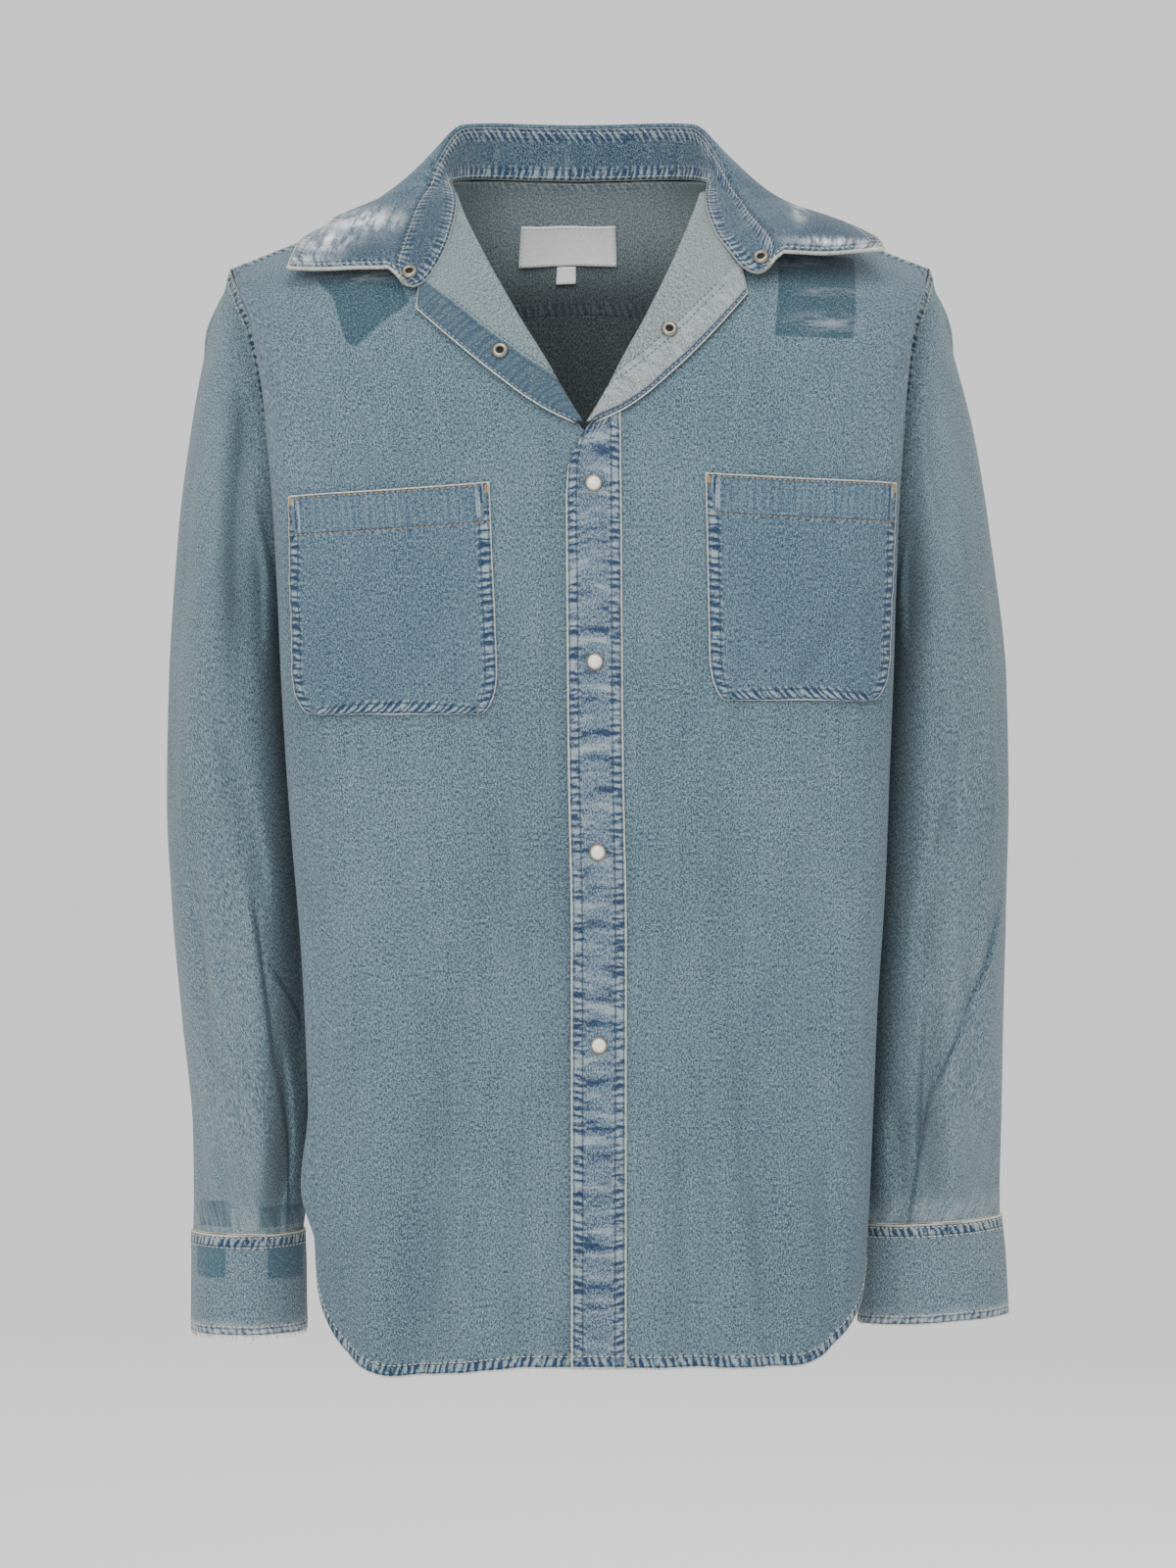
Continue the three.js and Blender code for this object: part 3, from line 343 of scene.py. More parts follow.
def yoke(u, v):
    """The yoke, from its lower seam (v 0) up to the neck and shoulder seams (v 1)."""
    u, v = np.broadcast_arrays(np.asarray(u, float), np.asarray(v, float))
    side = np.where(u < 0, -1, 1)
    low = back(u, 1 + 0 * v)
    top_x, top_y, top_z, bend = at(YOKE_TOP, np.abs(u))
    turn = bend * pi / 2
    rise = np.sin(v * turn) / np.sin(turn)
    run = (1 - np.cos(v * turn)) / (1 - np.cos(turn))
    edge = np.abs(u) ** 6 * np.sin(v * pi)
    low_x = np.abs(low[..., 0] - at(CENTRE, low[..., 2])[0])
    x = mix(low_x, top_x, v) + 3 * edge
    return place(side, x, mix(low[..., 1], top_y, run) + 6 * edge, mix(low[..., 2], top_z, rise))


def normals(surface, u, v, step=1e-3):
    """Outward directions of a surface, from its two slopes."""
    across = surface(u + step, v) - surface(u - step, v)
    up = surface(u, v + step) - surface(u, v - step)
    out = np.cross(across, up)
    return out / np.linalg.norm(out, axis=-1, keepdims=True)


def body_samples():
    """Points of the body with outward directions, to keep other pieces clear of it."""
    points, outs = [], []
    for side in (-1, 1):
        u, v = np.meshgrid(np.linspace(0.002, 0.998, 60), np.linspace(0.003, 0.997, 150))
        points.append(front(side, u, v))
        outs.append(side * normals(lambda a, b: front(side, a, b), u, v))
    for surface, rows in ((back, 90), (yoke, 34)):
        u, v = np.meshgrid(np.linspace(-0.998, 0.998, 110), np.linspace(0.003, 0.997, rows))
        points.append(surface(u, v))
        outs.append(-normals(surface, u, v))
    points = np.concatenate([p.reshape(-1, 3) for p in points])
    tree = KDTree(len(points))
    for i, point in enumerate(points):
        tree.insert(point, i)
    tree.balance()
    return tree, points, np.concatenate([o.reshape(-1, 3) for o in outs])


BODY_TREE, BODY_POINTS, BODY_OUTS = body_samples()


def softened(field, around, passes=3):
    """A grid of shifts, evened out with its neighbours; its first and last columns may be one."""
    for _ in range(passes):
        if around:
            field = (np.roll(field, 1, 1) + 2 * field + np.roll(field, -1, 1)) / 4
        else:
            wide = np.pad(field, ((0, 0), (1, 1), (0, 0)), mode="edge")
            field = (wide[:, :-2] + 2 * field + wide[:, 2:]) / 4
        tall = np.pad(field, ((1, 1), (0, 0), (0, 0)), mode="edge")
        field = (tall[:-2] + 2 * field + tall[2:]) / 4
    return field


def clear_of(points, clearance, around=False, passes=3):
    """Moves a grid of points out until it is clear of the body, without steps between them."""
    flat = points.reshape(-1, 3)
    wanted = np.broadcast_to(clearance, points.shape[:-1]).reshape(-1)
    shift = np.zeros_like(flat)
    for k, point in enumerate(flat):
        near = BODY_TREE.find_n(point, 3)
        index = [entry[1] for entry in near]
        weight = np.array([1 / (entry[2] + 1) for entry in near])
        out = (BODY_OUTS[index] * weight[:, None]).sum(0)
        out /= np.linalg.norm(out)
        height = (((point - BODY_POINTS[index]) @ out) * weight).sum() / weight.sum()
        if height < wanted[k]:
            shift[k] = out * (wanted[k] - height)
    return points + softened(shift.reshape(points.shape), around, passes)


def armhole(side, share):
    """The armhole from the shoulder tip (0), down the front to the armpit (0.5) and up the back."""
    up = np.clip((share - 0.5) * 2, 0, 1)
    by_front = front(side, 1 + 0 * share, mix(1, 0.66, np.clip(share * 2, 0, 1)))
    by_back = back(side + 0 * share, mix(0.74, 1, np.clip(up / 0.62, 0, 1)))
    by_yoke = yoke(side + 0 * share, np.clip((up - 0.62) / 0.38, 0, 1))
    above = np.where((up < 0.62)[..., None], by_back, by_yoke)
    return np.where((share <= 0.5)[..., None], by_front, above)


def sleeve(side, u, v):
    """A sleeve on a whole grid: u once round from its outer line by the front, v down to the cuff seam."""
    x_out, z_out, x_in, z_in, y_mid, half = at(SLEEVE[side], np.maximum(v, 0.12))
    angle = u * 2 * pi
    inward = (1 - np.cos(angle)) / 2
    depth = 2.6 * smooth(0.3, 0.5, v) * (1 - 0.6 * smooth(0.9, 1, v))
    fold = depth * np.sin(angle * 5 + v * 7 + side)
    press = 1.3 * folded(SLEEVE_FOLDS[side], u * SLEEVE_ROUND, v * SLEEVE_DOWN) * smooth(0.03, 0.12, v)
    press = press + creased(SLEEVE_CREASES[side], u * SLEEVE_ROUND, v * SLEEVE_DOWN)[0]
    press = press * (1 - 0.8 * smooth(0.95, 1, v)) + 0.8 * smooth(0.975, 1, v)
    y = y_mid - (half + fold) * np.sin(angle) - press * np.sin(angle)
    x = mix(x_out, x_in, inward) + press * np.cos(angle) * mix(0.7, 0.1, smooth(0.3, 0.8, inward))
    ring = np.stack([side * x, y, mix(z_out, z_in, inward)], -1)
    near = np.clip(v / 0.12, 0, 1)[..., None]
    ring = mix(armhole(side, np.clip(u, 0, 1)), ring, near)
    beside = np.maximum(smooth(0.02, 0.3, inward), 1 - smooth(0.03, 0.1, v))
    clearance = mix(SLEEVE_LAP, SLEEVE_CLEAR, smooth(0, 0.15, v))
    return clear_of(ring, mix(-12, clearance, beside), around=True, passes=2)


def cuff(side, u, v):
    """A cuff: a band once round the wrist that laps over its own end."""
    x_out, z_out, x_in, z_in, y_mid, half = at(SLEEVE[side], 1 + 0 * u)
    turns = u * CUFF_TURNS
    angle = (turns + CUFF_GAP_AT) * 2 * pi
    lap = 3 * smooth(0.91, 1, turns)
    flare = (4 if side > 0 else 1) * v
    inward = (1 - np.cos(angle)) / 2
    wave = 0.9 * np.sin(angle * 3 + side) * smooth(0, 0.4, v) + 0.5 * np.sin(angle * 7 + 2 * v)
    half_width = (x_out - x_in) / 2 + flare + lap + 1 + wave
    x = side * ((x_out + x_in) / 2 + half_width * np.cos(angle))
    z = mix(z_out, z_in, inward) - 0.3 - v * CUFF_DROP
    return np.stack([x, y_mid - (half + lap + 1 + wave) * np.sin(angle), z], -1)


def panel_frame(side, u, v):
    """A front's points with their outward directions and those away from its front edge."""
    step = 1e-3
    point = front(side, u, v)
    along = front(side, u + step, v) - point
    along /= np.linalg.norm(along, axis=-1, keepdims=True)
    up = front(side, u, v + step) - front(side, u, v - step)
    out = side * np.cross(along, up)
    return point, out / np.linalg.norm(out, axis=-1, keepdims=True), along


def on_front(side, x, z, lift):
    point, out, _ = panel_frame(side, *chest_shares(side, x, z))
    return point + out * np.asarray(lift)[..., None]


def facing(side, q, p):
    """A facing turned out over its front: q below 0 is its rounded fold, then 0 to 1 out to its edge."""
    edge_x, edge_z = at(FACING_EDGE, p)
    roll = mix(0.785, 0.985, p)
    rise = 10 * p * p if side > 0 else 0
    u_edge, v_edge = chest_shares(side, edge_x, edge_z + rise)
    share = np.maximum(q, 0)
    point, out, along = panel_frame(side, u_edge * share, mix(roll, v_edge, share))
    bulge = 1.6 * np.sin(share * pi) * (0.6 + 0.4 * np.sin(p * 9))
    flat = point + out * (mix(4.4, 3.6, share) + bulge)[..., None]
    turn = np.minimum(-np.minimum(q, 0), 1) * pi
    near = 1.5 * np.minimum(-np.minimum(q, 0), 1) + ROLL * np.sin(turn)
    folding = point + out * (ROLL * (1 + np.cos(turn)))[..., None] - along * near[..., None]
    return np.where((q >= 0)[..., None], flat, folding)


def collar_place(w, x, y, z, clearance):
    middle = mix(-6.5, -1.5, smooth(0.4, 1, np.abs(w)))
    rise = np.where(w > 0, 10 * smooth(0.6, 0.9, w), 0)
    return clear_of(np.stack([middle + np.where(w < 0, -x, x), y, z + rise], -1), clearance)


def stand(w, v):
    """The collar stand, with rounded front ends."""
    end = np.sqrt(1 - np.clip((np.abs(w) - 0.93) / 0.07, 0, 0.995) ** 2)
    v = 0.5 + (v - 0.5) * end
    seam, top = at(COLLAR_SEAM, np.abs(w)), at(COLLAR_TOP, np.abs(w))
    lift = 4.2 * smooth(0.5, 0.66, np.abs(w))
    return collar_place(w, *mix(seam, top, v), mix(2.4, 3, smooth(0, 0.5, v)) + lift)


def leaf(w, v):
    """The collar leaf, from the fold at the stand's top (v 0) to its free edge (v 1)."""
    lines = [at(table, np.abs(w)) for table in (COLLAR_TOP, COLLAR_MID, COLLAR_EDGE)]
    x, y, z = (1 - v) ** 2 * lines[0] + 2 * v * (1 - v) * lines[1] + v * v * lines[2]
    wave = 1.4 * np.sin(w * 17 + v * 3) * smooth(0.15, 0.6, v) * smooth(0.2, 0.5, np.abs(w))
    over_stand = smooth(0.55, 0.7, np.abs(w)) * (1 - smooth(0, 0.4, v))
    return collar_place(w, x, y, z + 3.1 + wave, mix(5.5, 9.7, over_stand) + np.abs(wave))


def placket(x_share, v):
    top = mix(PLACKET["top_left"], PLACKET["top_right"], x_share)
    z = mix(PLACKET["hem"], top, v)
    ripple = 0.35 * np.sin(z * 0.55 + 3 * np.sin(z * 0.11)) * np.abs(2 * x_share - 1)
    return on_front(1, mix(PLACKET["from"], PLACKET["to"], x_share), z, 1.8 + ripple)


def pocket(side, u, v):
    """A pocket: u across from the centre line, v from its rounded bottom to its top."""
    size = POCKETS[side]
    corner = np.maximum(1 - v / 0.2, 0)
    across = 0.5 + (u - 0.5) * (1 - 0.2 * (1 - np.sqrt(np.maximum(1 - corner * corner, 0))))
    low, high = mix(size["in_low"], size["out_low"], across), mix(size["in"], size["out"], across)
    top = mix(size["top_in"], size["top_out"], across)
    sag = 1.2 * np.sin(u * pi) ** 2 * smooth(0.4, 1, v)
    ripple = 0.3 * np.sin(v * 60 + 2 * u) * (np.abs(2 * u - 1) > 0.8)
    ripple = ripple + 0.3 * np.sin(u * 70) * (1 - smooth(0, 0.15, v))
    lift = 1.8 + 1.3 * smooth(0.5, 0.95, across) + ripple + sag
    z = mix(size["bottom"], top, v) - 0.8 * np.sin(u * pi) * (v > 0.97)
    return on_front(side, mix(low, high, v), z, lift)


def under_yoke(u, v, depth):
    return yoke(u, v) + normals(yoke, u, v) * np.asarray(depth)[..., None]


def run_of(line):
    """Length along a line of points, up to each of them."""
    return np.concatenate([[0], np.cumsum(np.linalg.norm(np.diff(line, axis=0), axis=-1))])


def even(line, start, stop, count):
    """Shares from start to stop that part a line evenly, with an extra one close to each end."""
    fine = np.linspace(start, stop, 400)
    run = run_of(line(fine))
    marks = np.linspace(0, run[-1], count + 1)
    marks = np.sort(np.concatenate([marks, [END_GAP, run[-1] - END_GAP]]))
    return np.interp(marks, run, fine)


LAYERS = ("patch", "pale", "dye_and_painted_shade", "calm")


class Shade:
    """A shader socket that takes part in sums like a number."""

    def __init__(self, tree, socket):
        self.tree, self.socket = tree, socket

    def node(self, kind, inputs=(), output=0, **settings):
        made = self.tree.nodes.new(kind)
        for name, value in settings.items():
            setattr(made, name, value)
        for name, value in dict(inputs).items():
            if isinstance(value, Shade):
                self.tree.links.new(value.socket, made.inputs[name])
            else:
                made.inputs[name].default_value = value
        return Shade(self.tree, made.outputs[output])

    def maths(self, operation, a, b=0.0):
        return self.node("ShaderNodeMath", {0: a, 1: b}, operation=operation)

    def __add__(self, other):
        return self.maths("ADD", self, other)

    def __sub__(self, other):
        return self.maths("SUBTRACT", self, other)

    def __mul__(self, other):
        return self.maths("MULTIPLY", self, other)

    __radd__ = __add__
    __rmul__ = __mul__

    def __rsub__(self, other):
        return self.maths("SUBTRACT", other, self)

    def least(self, other):
        return self.maths("MINIMUM", self, other)

    def most(self, other):
        return self.maths("MAXIMUM", self, other)

    def step(self, low, high, start=0.0, stop=1.0):
        """From start to stop, softly, as the value goes from low to high."""
        ends = {0: self, 1: low, 2: high, 3: start, 4: stop}
        return self.node("ShaderNodeMapRange", ends, interpolation_type="SMOOTHSTEP")

    def paint(self, colour, share):
        """This colour, covered by another by a share."""
        inputs = {0: share, 6: self, 7: colour}
        return self.node("ShaderNodeMix", inputs, output=2, data_type="RGBA")

    def scaled(self, x, y):
        return self.node("ShaderNodeVectorMath", {0: self, 1: (x, y, 0.0)}, operation="MULTIPLY")

    def noise(self, scale, detail=2.0, rough=0.5):
        inputs = {"Vector": self, "Scale": scale, "Detail": detail, "Roughness": rough}
        return self.node("ShaderNodeTexNoise", inputs)


def tone(code, alpha=1.0):
    """A colour as linear light from the six digits that a paint chart gives."""
    parts = [int(code[i : i + 2], 16) / 255 for i in (0, 2, 4)]
    linear = [p / 12.92 if p <= 0.04045 else ((p + 0.055) / 1.055) ** 2.4 for p in parts]
    return (*linear, alpha)


def begin(name):
    material = bpy.data.materials.new(name)
    material.use_nodes = True
    tree = material.node_tree
    return material, tree, tree.nodes["Principled BSDF"]


def cloth_map(tree, name):
    made = tree.nodes.new("ShaderNodeUVMap")
    made.uv_map = name
    return Shade(tree, made.outputs[0])


def denim(name, base, deep, pale, roping=1.0, edge=1.15, clouds=0.0, lie=(0.5, 1.0),
          patch_blue="223e4c", lift=None):
    """Washed denim. Roping is how strongly its sewn borders wear light and dark, edge how wide its bare cut
    edge shows, clouds how blotchy it is all over, lie how its clouds stretch, and lift a painted light ramp:
    how much darker than its colours it is painted at its foot, as shade, and how much lighter 90 mm up, as
    light."""
    material, tree, surface = begin(name)
    uv = cloth_map(tree, "flat")
    border = cloth_map(tree, "border")
    run = border.node("ShaderNodeSeparateXYZ", {0: border}, output=0) * 1000
    gap = border.node("ShaderNodeSeparateXYZ", {0: border}, output=1) * 1000
    fact = {key: uv.node("ShaderNodeAttribute", output=2, attribute_name=key) for key in LAYERS}
    soft = fact["calm"].step(0, 1, 1, 0)
    yarn = uv.scaled(1, 0.75).noise(1750, 2, 0.7) * 0.68 + uv.scaled(1, 0.5).noise(950, 1, 0.6) * 0.32
    slub = uv.scaled(1, 0.045).noise(300, 2, 0.6)
    patchy = uv.scaled(1, 0.5).noise(60, 3, 0.55)
    wide = uv.scaled(1, 0.7).noise(7, 2, 0.5)
    twill = uv.node("ShaderNodeTexWave", {"Vector": uv, "Scale": 330, "Distortion": 3.0, "Detail": 1.0})
    speck = (yarn - 0.5) * 7.6 + (slub - 0.5) * 0.3 + (patchy - 0.5) * 0.2 + (wide - 0.5) * 0.5
    speck = speck + (twill - 0.5) * 0.12 + 0.5
    body = uv.node("ShaderNodeRGB")
    body.socket.default_value = tone(base)
    body = body.paint(tone(deep), speck.step(0.62, -0.1, 0, 0.95))
    body = body.paint(tone(pale), speck.step(0.38, 1.1, 0, 0.9))
    strip = uv.node("ShaderNodeCombineXYZ", {0: run, 1: gap * 0.3})
    block = strip.noise(0.19, 2.5, 0.6)
    fine = strip.noise(0.6, 2, 0.6)
    inside = gap.step(edge * 0.6, edge * 1.4) * gap.step(BAND * 0.8, BAND * 1.25, 1, 0)
    cloud = uv.scaled(*lie).noise(105, 3, 0.6)
    slant = run * 1.2 + gap * 0.4 + block * 11
    beat = slant.maths("SINE", slant)
    mottle = block * 0.5 + 0.25 + beat * 0.14 + (fine - 0.5) * 0.3 + (yarn - 0.5) * 0.3
    worn = mottle.step(0.5, 0.64) * inside * soft * roping
    kept = mottle.step(0.52, 0.38) * inside * soft * roping
    blotch = cloud + (yarn - 0.5) * 0.5
    worn = worn.most(blotch.step(0.52, 0.66) * clouds)
    kept = kept.most(blotch.step(0.5, 0.36) * clouds)
    body = body.paint(tone("1f3350"), (kept * 0.9).least(1.0))
    body = body.paint(tone("97a5a9"), (worn * 0.8).least(1.0))
    body = body.paint(tone(patch_blue), (fact["patch"].step(-0.7, 0.7) * (1.05 - speck * 0.45)).least(0.92))
    # Dark blue from one layer: unfaded dye on the collar pieces, and painted shade in the sleeves' creases
    # and beside the right armhole
    body = body.paint(tone("20364a"), (fact["dye_and_painted_shade"] * (1.15 - speck * 0.6)).least(1.0))
    streak = uv.scaled(0.3, 1).noise(160, 3, 0.65)
    body = body.paint(tone("fbfbff"), (fact["pale"] * streak.step(0.38, 0.62, 0.1, 1.0)).least(1.0))
    grooves = gap.step(BAND - 2.4, BAND - 1.6) * gap.step(BAND - 1.2, BAND - 0.4, 1, 0)
    grooves = grooves.most(gap.step(edge + 0.2, edge + 0.7) * gap.step(edge + 1.0, edge + 1.6, 1, 0))
    body = body.paint(tone("1f3245"), grooves * (0.6 * min(roping, 1.0)))
    lip = gap.step(edge * 0.75, edge * 1.1, 1, 0) * (fine + (yarn - 0.5)).step(0.3, 0.55, 0.35, 0.85)
    body = body.paint(tone("d6d4c6"), lip * min(edge * 2, 1.0))
    # Painted light and shade: the colour is multiplied from darker at the foot to lighter 90 mm up
    if lift:
        height = uv.node("ShaderNodeSeparateXYZ", {0: uv}, output=1).step(0, 0.09, *lift)
        body = body.node("ShaderNodeVectorMath", {0: body, 1: height}, operation="MULTIPLY")
    tree.links.new(body.socket, surface.inputs["Base Color"])
    relief = inside * (block * 1.4 * roping) + speck * 0.12
    bump = uv.node("ShaderNodeBump", {"Strength": 0.55, "Distance": 0.0009, "Height": relief})
    tree.links.new(bump.socket, surface.inputs["Normal"])
    surface.inputs["Roughness"].default_value = 0.92
    surface.inputs["Specular IOR Level"].default_value = 0.12
    surface.inputs["Sheen Weight"].default_value = 0.12
    surface.inputs["Sheen Roughness"].default_value = 0.5
    return material


def plain(name, colour, roughness=0.6, metallic=0.0, coat=0.0):
    material, _, surface = begin(name)
    surface.inputs["Base Color"].default_value = tone(colour)
    surface.inputs["Roughness"].default_value = roughness
    surface.inputs["Metallic"].default_value = metallic
    surface.inputs["Coat Weight"].default_value = coat
    return material


def tape_cloth(name, colour):
    material, tree, surface = begin(name)
    uv = cloth_map(tree, "flat")
    rib = uv.scaled(1, 0.2).noise(1500, 1, 0.5)
    base = uv.node("ShaderNodeRGB")
    base.socket.default_value = tone(colour)
    body = base.paint(tone("e2e1de"), rib.step(0.55, 0.35, 0, 0.5))
    tree.links.new(body.socket, surface.inputs["Base Color"])
    surface.inputs["Roughness"].default_value = 0.7
    return material


# Making the cloth pieces
def lengths(points):
    """Flat lengths across and up a grid of points, from its first column and its first row."""
    across = np.linalg.norm(np.diff(points, axis=1), axis=-1)
    up = np.linalg.norm(np.diff(points, axis=0), axis=-1)
    a = np.concatenate([np.zeros((len(points), 1)), np.cumsum(across, 1)], 1)
    b = np.concatenate([np.zeros((1, points.shape[1])), np.cumsum(up, 0)], 0)
    return a, b


def grid_outs(points, outwards):
    across = np.gradient(points, axis=1)
    up = np.gradient(points, axis=0)
    out = np.cross(across, up)
    out /= np.maximum(np.linalg.norm(out, axis=-1, keepdims=True), 1e-9)
    return out * outwards


def borders(a, b, widths):
    """Distance from the nearest sewn border and the length along it. widths gives each border's worn width:
    l and r are the first and last columns, b and t the first and last rows."""
    far = {"l": a, "r": a[:, -1:] - a, "b": b, "t": b[-1:] - b}
    along = {"l": b, "r": b + 400, "b": a + 900, "t": a + 1500}
    gap, run = np.full_like(a, 60.0), np.zeros_like(a)
    for key, width in widths.items():
        near = far[key]
        near = np.where(near > 2, np.maximum(2 + (near - 2) * 4 / (width - 5), BAND - width + near), near)
        run = np.where(near < gap, along[key], run)
        gap = np.minimum(gap, near)
    return gap, run


def finished(made, name, materials, rounded=True):
    """A piece in the scene from a bmesh, on the shirt's one body."""
    for face in made.faces:
        face.smooth = rounded
    mesh = bpy.data.meshes.new(name)
    made.to_mesh(mesh)
    made.free()
    for material in materials:
        mesh.materials.append(material)
    piece = bpy.data.objects.new(name, mesh)
    bpy.context.scene.collection.objects.link(piece)
    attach(piece, "root")
    return piece


# Finished cloth pieces by name, which are those of the solids that they stand for
panels = {}


def cloth(name, points, materials, outwards, widths, thickness=CLOTH, fades=None, weld=False):
    """A piece of cloth as a thin shell on a grid of points in millimetres, with its flat coordinates."""
    rows, columns = points.shape[:2]
    a, b = lengths(points)
    middle = a - a[:, columns // 2 : columns // 2 + 1]
    gap, run = borders(a, b, widths)
    grid = bmesh.new()
    bmesh.ops.create_grid(grid, x_segments=columns - 1, y_segments=rows - 1, size=1)
    spots = np.array([v.co[:2] for v in grid.verts])
    i = np.rint((spots[:, 0] + 1) / 2 * (columns - 1)).astype(int)
    j = np.rint((spots[:, 1] + 1) / 2 * (rows - 1)).astype(int)
    flat = grid.loops.layers.uv.new("flat")
    border = grid.loops.layers.uv.new("border")
    for vertex, p in zip(grid.verts, points[j, i] * MM):
        vertex.co = p
    for vertex, k, m in zip(grid.verts, i, j):
        for loop in vertex.link_loops:
            loop[flat].uv = (middle[m, k] * MM, b[m, k] * MM)
            loop[border].uv = (run[m, k] * MM, gap[m, k] * MM)
    layers = {key: grid.verts.layers.float.new(key) for key in LAYERS}
    for key, layer in layers.items():
        field = (fades or {}).get(key)
        bare = FAR_OUTSIDE if key == "patch" else 0.0
        for vertex, k, m in zip(grid.verts, i, j):
            vertex[layer] = bare if field is None else float(field[m, k])
    if weld:
        bmesh.ops.remove_doubles(grid, verts=grid.verts, dist=2e-5)
    outs = grid_outs(points, outwards)
    grid.normal_update()
    bmesh.ops.recalc_face_normals(grid, faces=grid.faces)
    grid.faces.ensure_lookup_table()
    face = grid.faces[len(grid.faces) // 2]
    centre = np.array(face.calc_center_median()) / MM
    nearest = np.argmin(((points.reshape(-1, 3) - centre) ** 2).sum(-1))
    if float(np.dot(np.array(face.normal), outs.reshape(-1, 3)[nearest])) < 0:
        bmesh.ops.reverse_faces(grid, faces=grid.faces)
    piece = finished(grid, name, materials)
    shell = piece.modifiers.new("thickness", "SOLIDIFY")
    shell.thickness = thickness * MM
    shell.offset = 0
    shell.material_offset = min(len(materials) - 1, 1)
    shell.material_offset_rim = 0 if thickness == DOUBLE else len(materials) - 1
    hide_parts(name)
    panels[name] = {"piece": piece, "points": points, "outs": outs, "a": a, "b": b}


def border_line(panel, border, inset, start=0.0, stop=0.0):
    """A line on a piece, parallel to one border, from start to stop short of its ends in millimetres."""
    points, outs, a, b = (panel[key] for key in ("points", "outs", "a", "b"))
    if border in "bt":
        points, outs, a, b = points.swapaxes(0, 1), outs.swapaxes(0, 1), b.T, a.T
    wanted = inset if border in "lb" else a[:, -1] - inset
    wanted = np.broadcast_to(wanted, (len(a),))
    index = np.array([np.interp(w, row, np.arange(len(row))) for w, row in zip(wanted, a)])
    low = np.minimum(index.astype(int), a.shape[1] - 2)
    share = (index - low)[:, None]
    pick = np.arange(len(a))
    line = mix(points[pick, low], points[pick, low + 1], share)
    out = mix(outs[pick, low], outs[pick, low + 1], share)
    run = run_of(line)
    keep = (run >= start) & (run <= run[-1] - stop)
    return line[keep], out[keep]


def read_off(rows, run, marks):
    """The rows of a line's table at some lengths along it."""
    return np.stack([np.interp(marks, run, rows[:, k]) for k in range(3)], -1)


def sew(name, lines, thread, lift=0.75, pitch=3.6, size=2.5, width=0.34):
    """Rows of stitches, each a small rounded bar of thread lying on the cloth."""
    made = bmesh.new()
    row = bpy.data.meshes.new(name + " row")
    for points, outs in lines:
        run = run_of(points)
        if run[-1] < pitch:
            continue
        marks = np.arange(pitch / 2, run[-1], pitch)
        spots, ups = read_off(points, run, marks), read_off(outs, run, marks)
        tangents = read_off(points, run, marks + 0.8) - read_off(points, run, marks - 0.8)
        few = bmesh.new()
        for spot, tangent, up in zip(spots, tangents, ups):
            up = Vector(up).normalized()
            along = Vector(tangent)
            along = (along - up * along.dot(up)).normalized()
            turn = Matrix((up.cross(along), up, along)).transposed().to_4x4()
            scale = Matrix.Diagonal((width, width * 0.8, size / 2, 1))
            seat = Matrix.Translation((Vector(spot) + up * lift) * MM)
            shape = seat @ turn @ Matrix.Scale(MM, 4) @ scale
            bmesh.ops.create_uvsphere(few, u_segments=5, v_segments=4, radius=1, matrix=shape)
            if len(few.verts) > 600:
                few.to_mesh(row)
                made.from_mesh(row)
                few.clear()
        few.to_mesh(row)
        made.from_mesh(row)
        few.free()
    bpy.data.meshes.remove(row)
    finished(made, name, [thread])


def turned(name, profile, material, point, out):
    """A piece turned about its axis from (radius, height) pairs, standing on a surface."""
    made = bmesh.new()
    verts = [made.verts.new((r * MM, 0, h * MM)) for r, h in profile]
    edges = [made.edges.new(pair) for pair in zip(verts, verts[1:])]
    axis = {"cent": (0, 0, 0), "axis": (0, 0, 1), "angle": 2 * pi, "steps": 28, "use_merge": True}
    bmesh.ops.spin(made, geom=verts + edges, **axis)
    bmesh.ops.remove_doubles(made, verts=made.verts, dist=2e-6)
    bmesh.ops.recalc_face_normals(made, faces=made.faces)
    turn = Vector((0, 0, 1)).rotation_difference(Vector(out)).to_matrix().to_4x4()
    bmesh.ops.transform(made, matrix=Matrix.Translation(Vector(point) * MM) @ turn, verts=made.verts)
    piece = finished(made, name, [material])
    return piece


def inside(polygon, x, z):
    """Signed distance in millimetres from a patch's outline, above 0 inside it."""
    corners = np.array(polygon, float)
    nearest = np.full(x.shape, 1e9)
    turns = np.zeros(x.shape, bool)
    for (x0, z0), (x1, z1) in zip(corners, np.roll(corners, -1, 0)):
        length = (x1 - x0) ** 2 + (z1 - z0) ** 2
        share = np.clip(((x - x0) * (x1 - x0) + (z - z0) * (z1 - z0)) / length, 0, 1)
        nearest = np.minimum(nearest, np.hypot(x - mix(x0, x1, share), z - mix(z0, z1, share)))
        crosses = (z0 > z) != (z1 > z)
        if z1 != z0:
            turns ^= crosses & (x < (x1 - x0) * (z - z0) / (z1 - z0) + x0)
    return np.where(turns, nearest, -nearest)


def spot_share(x, z, blots):
    """How strongly soft round blots cover each point: each is x, z, half width, half height, strength."""
    total = 0 * x
    for x0, z0, wide, tall, strength in blots:
        total = np.maximum(total, strength * np.exp(-(((x - x0) / wide) ** 2) - ((z - z0) / tall) ** 2))
    return total


